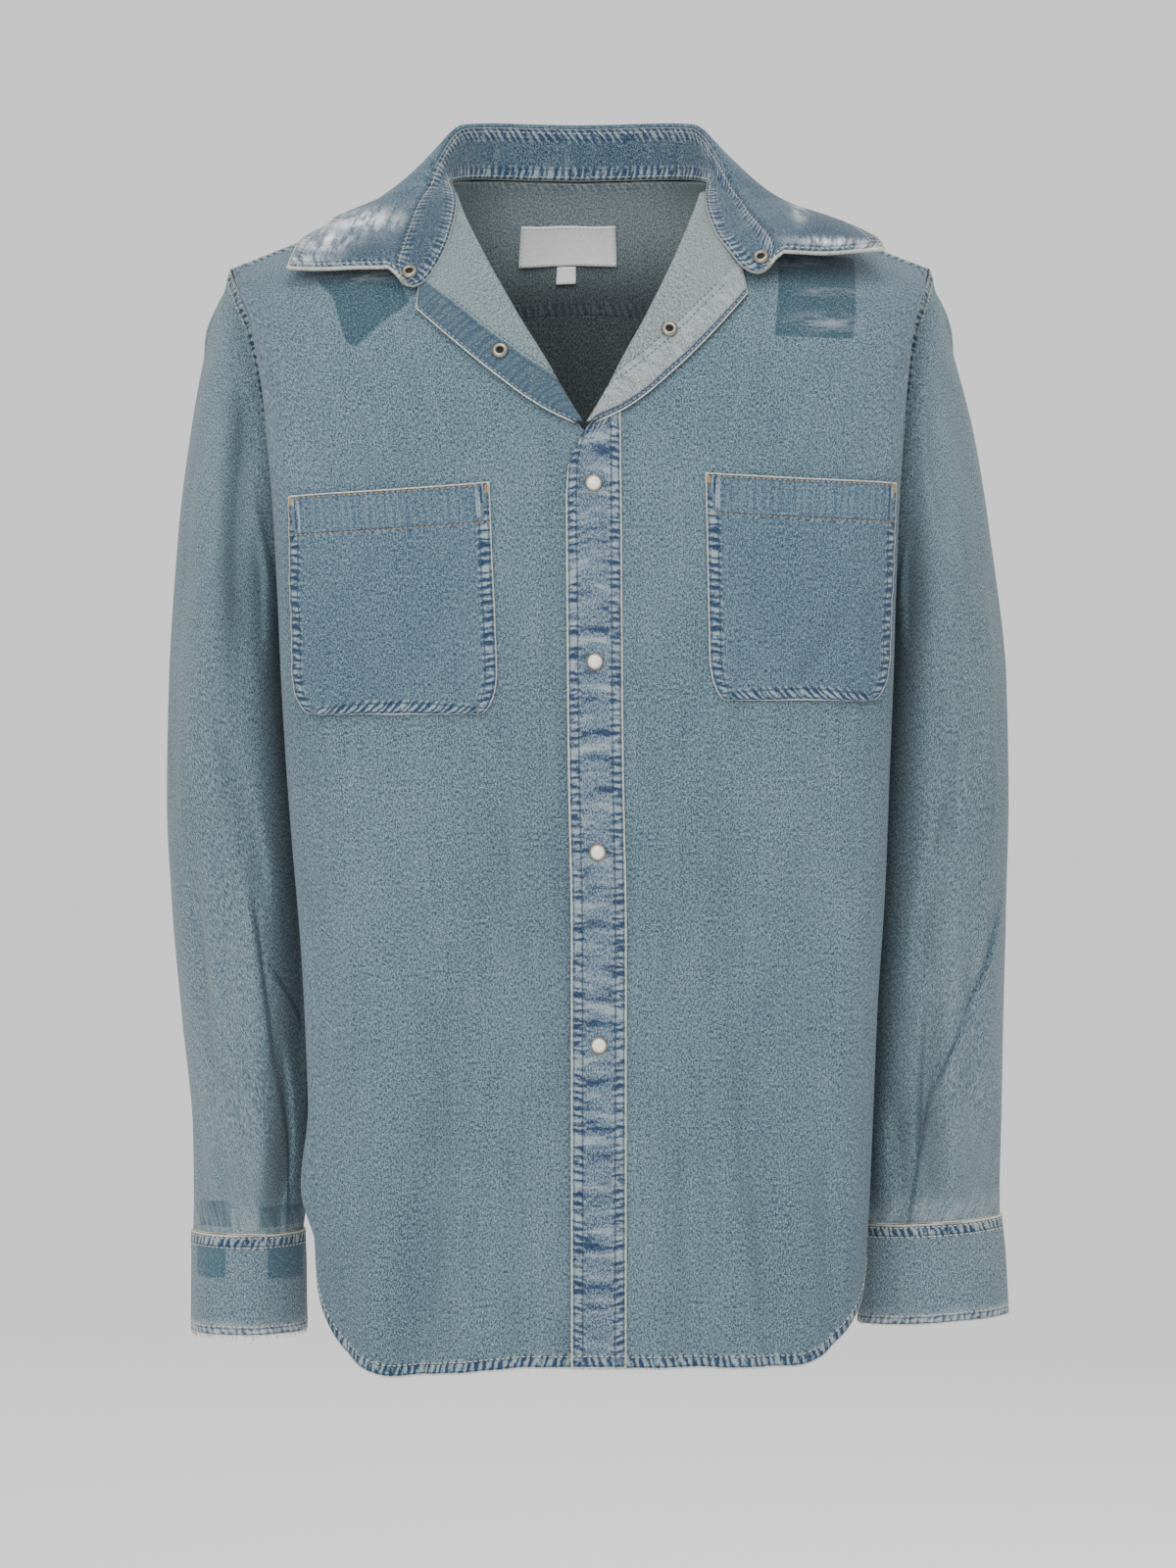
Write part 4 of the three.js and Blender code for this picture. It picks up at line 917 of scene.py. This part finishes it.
# Materials
body_denim = denim("washed denim", "4f636d", "283d4c", "879da7")
sleeve_denim = denim("washed denim, sleeves", "54676f", "2d424e", "8ea3a9", patch_blue="2c4855")
# Painted light: the yoke's wrong side is the lower back's wrong side, painted darker at its foot and lighter
# towards the neck
yoke_reverse_painted_light = denim("yoke, wrong side", "5f696d", "3c4548", "7d888b", 0.3, edge=0.02, lift=(0.42, 2.7))
body_reverse = denim("washed denim, wrong side", "3d4447", "272c2f", "5c6466", roping=0.0, edge=0.02)
pocket_denim = denim("pocket denim", "495e6d", "263c51", "7c929f", edge=0.8)
placket_denim = denim("placket denim", "54677a", "283d58", "93a3a9", clouds=1.0, lie=(0.2, 1))
stand_denim = denim("stand denim", "364a5b", "1a2b40", "6c808a", 0.85, edge=0.3, clouds=0.15, lie=(1, 0.3))
leaf_denim = denim("leaf denim", "40576a", "21354a", "74898f", 0.9, edge=1.2, clouds=0.2, lie=(1, 0.3))
cuff_denim = denim("cuff denim", "5d7079", "374a55", "90a1a8", edge=1.2, patch_blue="33505f")
facing_pale = denim("facing, wrong side out", "7a8384", "4f585c", "a8aeae", roping=0.2, patch_blue="1c2f49")
facing_teal = denim("facing, half turned", "6f7e83", "47565d", "98a5a8", roping=0.5, patch_blue="304859")
label_cloth = tape_cloth("label cloth", "ffffff")
cream_thread = plain("cream thread", "cfc8b4", 0.8)
frayed_yarn = plain("frayed yarn", "a3a193", 0.9)
tan_thread = plain("tan thread", "b08c56", 0.8)
grey_thread = plain("grey blue thread", "8f9ea6", 0.8)
dark_thread = plain("dark thread", "3f5468", 0.8)
pearl = plain("pearl", "e3e1da", 0.22, 0.0, 0.6)
rim_metal = plain("brown rim metal", "8a7b6c", 0.35, 0.85)
ring_metal = plain("ring metal", "8d877c", 0.3, 0.9)
socket_dark = plain("socket hollow", "2b2a28", 0.5, 0.6)


def body_grid(surface, across, up):
    u, v = np.meshgrid(across, up)
    return surface(u, v)


def local(points, side):
    return side * (points[..., 0] - at(CENTRE, points[..., 2])[0]), points[..., 2]


CHEST_PATCH = {
    1: [(131, -46), (182.5, -46), (179, -87), (175.5, -106), (124.5, -104.5), (128.5, -75)],
    -1: [(174.3, -64.1), (162.6, -77.7), (153.6, -110), (147.1, -111.3), (132.2, -97.1), (112.2, -82.2),
         (121.9, -59.6)],
}
CHEST_PALE = {
    1: [(158, -95, 20, 5, 0.2), (142, -52, 18, 4, 0.3), (166, -74, 16, 2, 0.3)],
    -1: [(140, -62, 20, 5, 0.25)],
}
for side in (-1, 1):
    name = "front_" + NAMES[side]
    across = even(lambda t: front(side, t, 0.4), 0, 1, 104)
    up = even(lambda t: front(side, 0.3, t), 0, 1, 216)
    points = body_grid(lambda u, v: front(side, u, v), across, up)
    x, z = local(points, side)
    fades = {"patch": inside(CHEST_PATCH[side], x, z), "pale": spot_share(x, z, CHEST_PALE[side])}
    widths = {"b": 9, "r": 9, "t": 8}
    cloth(name, points, (body_denim, body_reverse), side, widths, fades=fades)

across = even(lambda t: back(t, 0.5), -1, 1, 150)
up = even(lambda t: back(0.2, t), 0, 1, 176)
widths = {"l": 9, "r": 9, "b": 9, "t": 9}
cloth("back", body_grid(back, across, up), (body_denim, body_reverse), -1, widths)
across = even(lambda t: yoke(t, 0.5), -1, 1, 150)
up = even(lambda t: yoke(0.3, t), -0.008, 1, 40)
widths = {"l": 8, "r": 8, "b": 9, "t": 8}
finish = (body_denim, yoke_reverse_painted_light, body_reverse)
cloth("yoke", body_grid(yoke, across, up), finish, -1, widths)

# Darker squares above and on the right cuff: x from and to, z from and to
SLEEVE_PATCHES = [(-260, -237, -691, -674), (-219, -190, -691, -677)]
CUFF_PATCHES = [(-261, -241, -725, -704), (-214, -193, -726, -704)]


def square_patches(points, squares):
    """Signed distance into the nearest of some squares on the outer front of a sleeve or cuff."""
    x, y, z = np.moveaxis(points, -1, 0)
    best = np.full(x.shape, FAR_OUTSIDE)
    for x0, x1, z0, z1 in squares:
        best = np.maximum(best, np.minimum.reduce([x - x0, x1 - x, z - z0, z1 - z]))
    return np.where(y < 8, best, np.minimum(best, -5))


for side in (-1, 1):
    name = "sleeve_" + NAMES[side]
    round_shares = np.concatenate([np.linspace(0, 0.5, 98), np.linspace(0.5, 1, 54)[1:]])
    down = even(lambda t: sleeve(side, np.full((len(t), 1), 0.25), t[:, None])[:, 0], 0.0025, 1, 168)
    u, v = np.meshgrid(round_shares, down)
    points = sleeve(side, u, v)
    points[:, -1] = points[:, 0]
    widths = {"b": 8, "t": 5}
    # Painted shade: dark lines along the sharp creases and, on the right sleeve, a dark band beside the
    # armhole
    line = creased(SLEEVE_CREASES[side], u * SLEEVE_ROUND, v * SLEEVE_DOWN)[1]
    hollow = np.exp(-(((u * SLEEVE_ROUND - 54 - v * 80) / 11) ** 2))
    hollow = hollow * smooth(0, 0.1, v) * (1 - smooth(0.3, 0.6, v))
    by_cuff = 0.07 * smooth(0.968, 0.99, v) + 0.04 * smooth(0.6, 0.85, v) * (1 - smooth(0.27, 0.3, u))
    fades = {"dye_and_painted_shade": 0.85 * line + (0.3 if side < 0 else 0.0) * hollow, "pale": by_cuff}
    if side < 0:
        fades["patch"] = square_patches(points, SLEEVE_PATCHES)
    finish = (sleeve_denim, body_reverse)
    cloth(name, points, finish, side, widths, fades=fades, weld=True)

    name = "cuff_" + NAMES[side]
    u, v = np.meshgrid(even(lambda t: cuff(side, t, 0 * t), 0, 1, 150), np.linspace(0, 1, 24))
    points = cuff(side, u, v)
    widths = {"l": 8, "r": 8, "b": 9, "t": 7}
    worn_end = (0.28 if side < 0 else 0.2) * smooth(0.84, 0.95, v)
    fades = {"patch": square_patches(points, CUFF_PATCHES if side < 0 else []), "pale": worn_end}
    finish = (cuff_denim, body_reverse)
    cloth(name, points, finish, side, widths, DOUBLE, fades=fades)

    name = "sleeve_placket_" + NAMES[side]
    u, v = np.meshgrid(np.linspace(0.595, 0.68, 16), np.linspace(0.84, 0.997, 44))
    points = sleeve(side, u, v)
    points = points + grid_outs(points, side) * 2.25
    widths = {"l": 7, "r": 7, "b": 6}
    cloth(name, points, (sleeve_denim, body_reverse), side, widths)

    name = "pocket_" + NAMES[side]
    u, v = np.meshgrid(np.linspace(0, 1, 61), even(lambda t: pocket(side, 0.5 + 0 * t, t), 0, 1, 66))
    widths = {"l": 9, "r": 9, "b": 9, "t": 27}
    points = pocket(side, u, v)
    run_across, run_up = lengths(points)
    from_side = np.minimum(run_across, run_across[:, -1:] - run_across)
    fades = {"calm": 0.78 * (run_up[-1:] - run_up < 27) * smooth(8, 10, from_side)}
    finish = (pocket_denim, body_reverse)
    cloth(name, points, finish, side, widths, fades=fades)

    name = "facing_" + NAMES[side]
    q = np.concatenate([np.linspace(-1, 0, 12)[:-1], np.linspace(0, 1, 44)])
    q, p = np.meshgrid(q, np.linspace(0, 1, 60))
    points = facing(side, q, p)
    outer = lengths(points)[0]
    from_edge = outer[:, -1:] - outer
    fades = {"patch": (24 if side < 0 else 4.5) - from_edge}
    if side > 0:
        fades["pale"] = 0.13 * smooth(4, 6, from_edge) * (1 - smooth(25, 27, from_edge))
    finish = (facing_teal if side < 0 else facing_pale, body_denim)
    widths = {"r": 23 if side < 0 else 6, "t": 6}
    cloth(name, points, finish, side, widths, fades=fades)

x_share, v = np.meshgrid(np.linspace(0, 1, 22), np.linspace(0, 1, 300))
widths = {"l": 9, "r": 9, "t": 8, "b": 9}
finish = (placket_denim, body_reverse)
cloth("placket", placket(x_share, v), finish, 1, widths)

w, v = np.meshgrid(np.linspace(-1, 1, 181), np.linspace(0, 1, 20))
widths = {"l": 7, "r": 7, "b": 9, "t": 9}
points = stand(w, v)
fades = {"dye_and_painted_shade": spot_share(points[..., 0], points[..., 2], [(-108, -24, 26, 34, 0.5)])}
cloth("collar_stand", points, (stand_denim,), 1, widths, DOUBLE, fades=fades)
w, v = np.meshgrid(np.linspace(-1, 1, 221), np.linspace(0.05, 1, 34))
points = leaf(w, v)
edge = stand(w[:1], 1 + 0 * w[:1])
roll = mix(edge, points[:1], 0.45) + np.array([0, 0, 1.6])
points = np.concatenate([edge, roll, points])
blots = [(-152, -22, 24, 9, 0.85), (-174, -37, 15, 8, 1.0), (-186, -51, 16, 4, 0.5), (-108, -52, 9, 9, 0.4)]
blots += [(162, -41, 24, 3, 0.8), (186, -44, 10, 3, 0.6), (140, -16, 5, 9, 0.45)]
dyes = [(158, -26, 46, 26, 0.85), (-144, -46, 22, 8, 0.9), (-118, -34, 9, 13, 0.7), (124, 4, 20, 16, 0.7)]
x, z = points[..., 0], points[..., 2]
fades = {"pale": spot_share(x, z, blots), "dye_and_painted_shade": spot_share(x, z, dyes)}
widths = {"l": 8, "r": 8, "t": 9}
cloth("collar_leaf", points, (leaf_denim,), 1, widths, DOUBLE, fades=fades)

u, v = np.meshgrid(np.linspace(-0.1125, 0.1125, 40), np.linspace(0.34, 0.64, 24))
u = u * mix(0.9, 1.05, (v - 0.34) / 0.3) - 0.0275
points = under_yoke(u, v, 2.4 + 0.5 * np.sin(u * 50))
cloth("neck_label", points, (label_cloth,), 1, {}, 0.6)
u, v = np.meshgrid(np.linspace(-0.042, -0.006, 8), np.linspace(0.21, 0.333, 10))
cloth("neck_label_tab", under_yoke(u, v, 2.4), (label_cloth,), 1, {}, 0.6)

# Sewing
def sew_borders(name, panel, rows, thread, **size):
    sew(name, [border_line(panel, *row) for row in rows], thread, **size)


def fray(name, panel, thread, longest, seed):
    """Short loose yarns that hang from a cuff's cut end."""
    random = np.random.default_rng(seed)
    line, _ = border_line(panel, "t", 0.2)
    made = bmesh.new()
    for k in range(len(line) - 1):
        for share in (0.2, 0.7):
            start = mix(line[k], line[k + 1], share + 0.2 * random.uniform(-1, 1)) + [0, 0, 0.6]
            long = longest * random.uniform(0.25, 1) ** 1.5
            swing = Vector((random.uniform(-0.4, 0.4), random.uniform(-0.3, 0.3), -1.0)) * long
            turn = Vector((0, 0, 1)).rotation_difference(swing).to_matrix().to_4x4()
            seat = Matrix.Translation((Vector(start) + swing / 2) * MM)
            shape = seat @ turn @ Matrix.Scale(MM, 4) @ Matrix.Diagonal((0.22, 0.22, long / 2, 1))
            bmesh.ops.create_uvsphere(made, u_segments=4, v_segments=4, radius=1, matrix=shape)
    finished(made, name, [thread], rounded=False)


fray("frayed_cuff_end_right", panels["cuff_right"], frayed_yarn, 5.0, 3)
fray("frayed_cuff_end_left", panels["cuff_left"], frayed_yarn, 2.4, 5)
for side in (-1, 1):
    hand = NAMES[side]
    body = panels["front_" + hand]
    sew_borders("hem_stitches_front_" + hand, body, [("b", 8, 14)], cream_thread)
    sew_borders("side_stitches_front_" + hand, body, [("r", 2, 2, 0), ("r", 8, 2, 0)], dark_thread)
    panel = panels["pocket_" + hand]
    rows = [("l", 2.2, 2, 2), ("l", 7.6, 8, 2), ("r", 2.2, 2, 2), ("r", 7.6, 8, 2)]
    rows += [("b", 2.2, 2, 2), ("b", 7.6, 8, 8)]
    sew_borders("pocket_stitches_" + hand, panel, rows, dark_thread, width=0.3)
    sew_borders("pocket_hem_stitches_" + hand, panel, [("t", 2.0), ("t", 26.0)], tan_thread)
    tacks = [border_line(panel, key, inset, length - 8, 1) for key in "lr" for inset in (1.4, 2.6)
             for length in [panel["b"][-1, 0 if key == "l" else -1]]]
    sew("bar_tacks_" + hand, tacks, tan_thread, lift=0.9, pitch=0.9, size=1.6, width=0.5)
    arm = panels["sleeve_" + hand]
    whole = arm["a"][0, -1]
    rows = [("b", inset, start, stop) for inset in (2.0, 8.0) for start, stop in ((0, whole - 52), (235, 0))]
    sew_borders("armhole_stitches_" + hand, arm, rows, cream_thread)
    band = panels["cuff_" + hand]
    rows = [("b", 2.2), ("b", 8.4), ("t", 6.0), ("l", 4), ("r", 4)]
    sew_borders("cuff_stitches_" + hand, band, rows, cream_thread, lift=1.35)
    turned_out = panels["facing_" + hand]
    sew_borders("facing_stitches_" + hand, turned_out, [("r", 2.4)], grey_thread)
    rows = [("r", 21, 0, 20), ("r", 26, 0, 24)]
    sew_borders("facing_inner_stitches_" + hand, turned_out, rows, dark_thread)
rows = [("l", 2.2), ("l", 8), ("r", 2.2), ("r", 7)]
sew_borders("placket_stitches", panels["placket"], rows, dark_thread, width=0.3)
sew_borders("placket_end_stitches", panels["placket"], [("b", 8)], cream_thread)
sew_borders("back_stitches", panels["back"], [("b", 8), ("t", 2), ("l", 2), ("r", 2)], cream_thread)
sew_borders("yoke_stitches", panels["yoke"], [("b", 2), ("b", 7.5), ("t", 2)], cream_thread)
rows = [("t", 3.0), ("b", 2.4), ("l", 3, 4, 4), ("r", 3, 4, 4)]
sew_borders("stand_stitches", panels["collar_stand"], rows, cream_thread, lift=1.35, width=0.26)
rows = [("t", 2.6), ("t", 8.2), ("l", 4), ("r", 4)]
sew_borders("leaf_stitches", panels["collar_leaf"], rows, cream_thread, lift=1.35)
rows = [(border, 1.6) for border in "lrtb"]
sew_borders("label_stitches", panels["neck_label"], rows, cream_thread, lift=0.5, pitch=3.0, size=1.9)

# Snaps
CAP = [(0, 2.5), (1.4, 2.45), (2.8, 2.15), (3.9, 1.6), (4.5, 0.9), (4.6, 0.4)]
RIM = [(4.4, 0.2), (4.5, 1.1), (4.9, 1.45), (5.4, 1.2), (5.6, 0.5), (5.5, 0)]
RING = [(2.2, 0.1), (2.3, 1.3), (2.8, 1.9), (3.7, 2.0), (4.7, 1.5), (5.3, 0.7), (5.4, 0)]
HOLLOW = [(0, 1.3), (0.8, 1.25), (1.0, 0.5), (2.3, 0.4)]


def snap(node, point, out, open_ring=False):
    cap = turned(node, RING if open_ring else CAP, ring_metal if open_ring else pearl, point, out)
    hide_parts(node)
    turned(node + "_inner", HOLLOW if open_ring else RIM, socket_dark if open_ring else rim_metal, point, out)


for i, z in enumerate(PLACKET_SNAPS):
    share = (z - PLACKET["hem"]) / ((PLACKET["top_left"] + PLACKET["top_right"]) / 2 - PLACKET["hem"])
    spot = placket(np.array([[0.5]]), np.array([[share]]))[0, 0]
    out = normals(placket, np.array([[0.5]]), np.array([[share]]))[0, 0]
    snap(f"placket_snap_{i + 1}", spot + out * 0.8, out)
for side in (-1, 1):
    x, z = LAPEL_SNAPS[side]
    point, out, _ = panel_frame(side, *chest_shares(side, np.array([x]), np.array([z])))
    snap("facing_snap_" + NAMES[side], point[0] + out[0] * 5.6, out[0], True)
    u, v = np.array([[0.965]]), np.array([[0.5]])
    out = side * normals(lambda a, b: cuff(side, a, b), u, v)[0, 0]
    snap("cuff_snap_" + NAMES[side], cuff(side, u, v)[0, 0] + out * 1.5, out)
    collar = panels["collar_stand"]
    row, column = 10, int(round(90 + side * 85.5))
    point, out = collar["points"][row, column], collar["outs"][row, column]
    snap("collar_snap_" + NAMES[side], point + out * 1.5, out, True)

# Studio
floor = bmesh.new()
bmesh.ops.create_grid(floor, x_segments=1, y_segments=1, size=60)
for vertex in floor.verts:
    vertex.co.z = -1.4
mesh = bpy.data.meshes.new("floor")
floor.to_mesh(mesh)
floor.free()
mesh.materials.append(plain("floor", "fdfdfd", 0.9))
ground = bpy.data.objects.new("floor", mesh)
bpy.context.scene.collection.objects.link(ground)

world = bpy.data.worlds.new("studio")
bpy.context.scene.world = world
world.use_nodes = True
world.node_tree.nodes["Background"].inputs["Color"].default_value = (1, 1, 1, 1)
world.node_tree.nodes["Background"].inputs["Strength"].default_value = 1.0


def lamp(name, place_at, aim, size, power):
    light = bpy.data.lights.new(name, "AREA")
    light.size = size
    light.energy = power
    item = bpy.data.objects.new(name, light)
    item.location = place_at
    item.rotation_euler = (Vector(aim) - Vector(place_at)).to_track_quat("-Z", "Y").to_euler()
    bpy.context.scene.collection.objects.link(item)


lamp("front above", (-0.9, -3.3, 0.9), (0, 0, -0.4), 2.0, 62)
lamp("back above", (0.9, 3.0, 1.6), (0, 0, -0.3), 2.4, 46)
lamp("over the neck", (0.1, -1.1, 1.3), (0, 0.06, -0.05), 0.6, 13)

camera = bpy.data.cameras.new("camera")
camera.lens = 102.3
camera.sensor_width = 36
view = bpy.data.objects.new("camera", camera)
view.location = (0, -3.0, -0.396)
view.rotation_euler = (pi / 2, 0, 0)
bpy.context.scene.collection.objects.link(view)
bpy.context.scene.camera = view
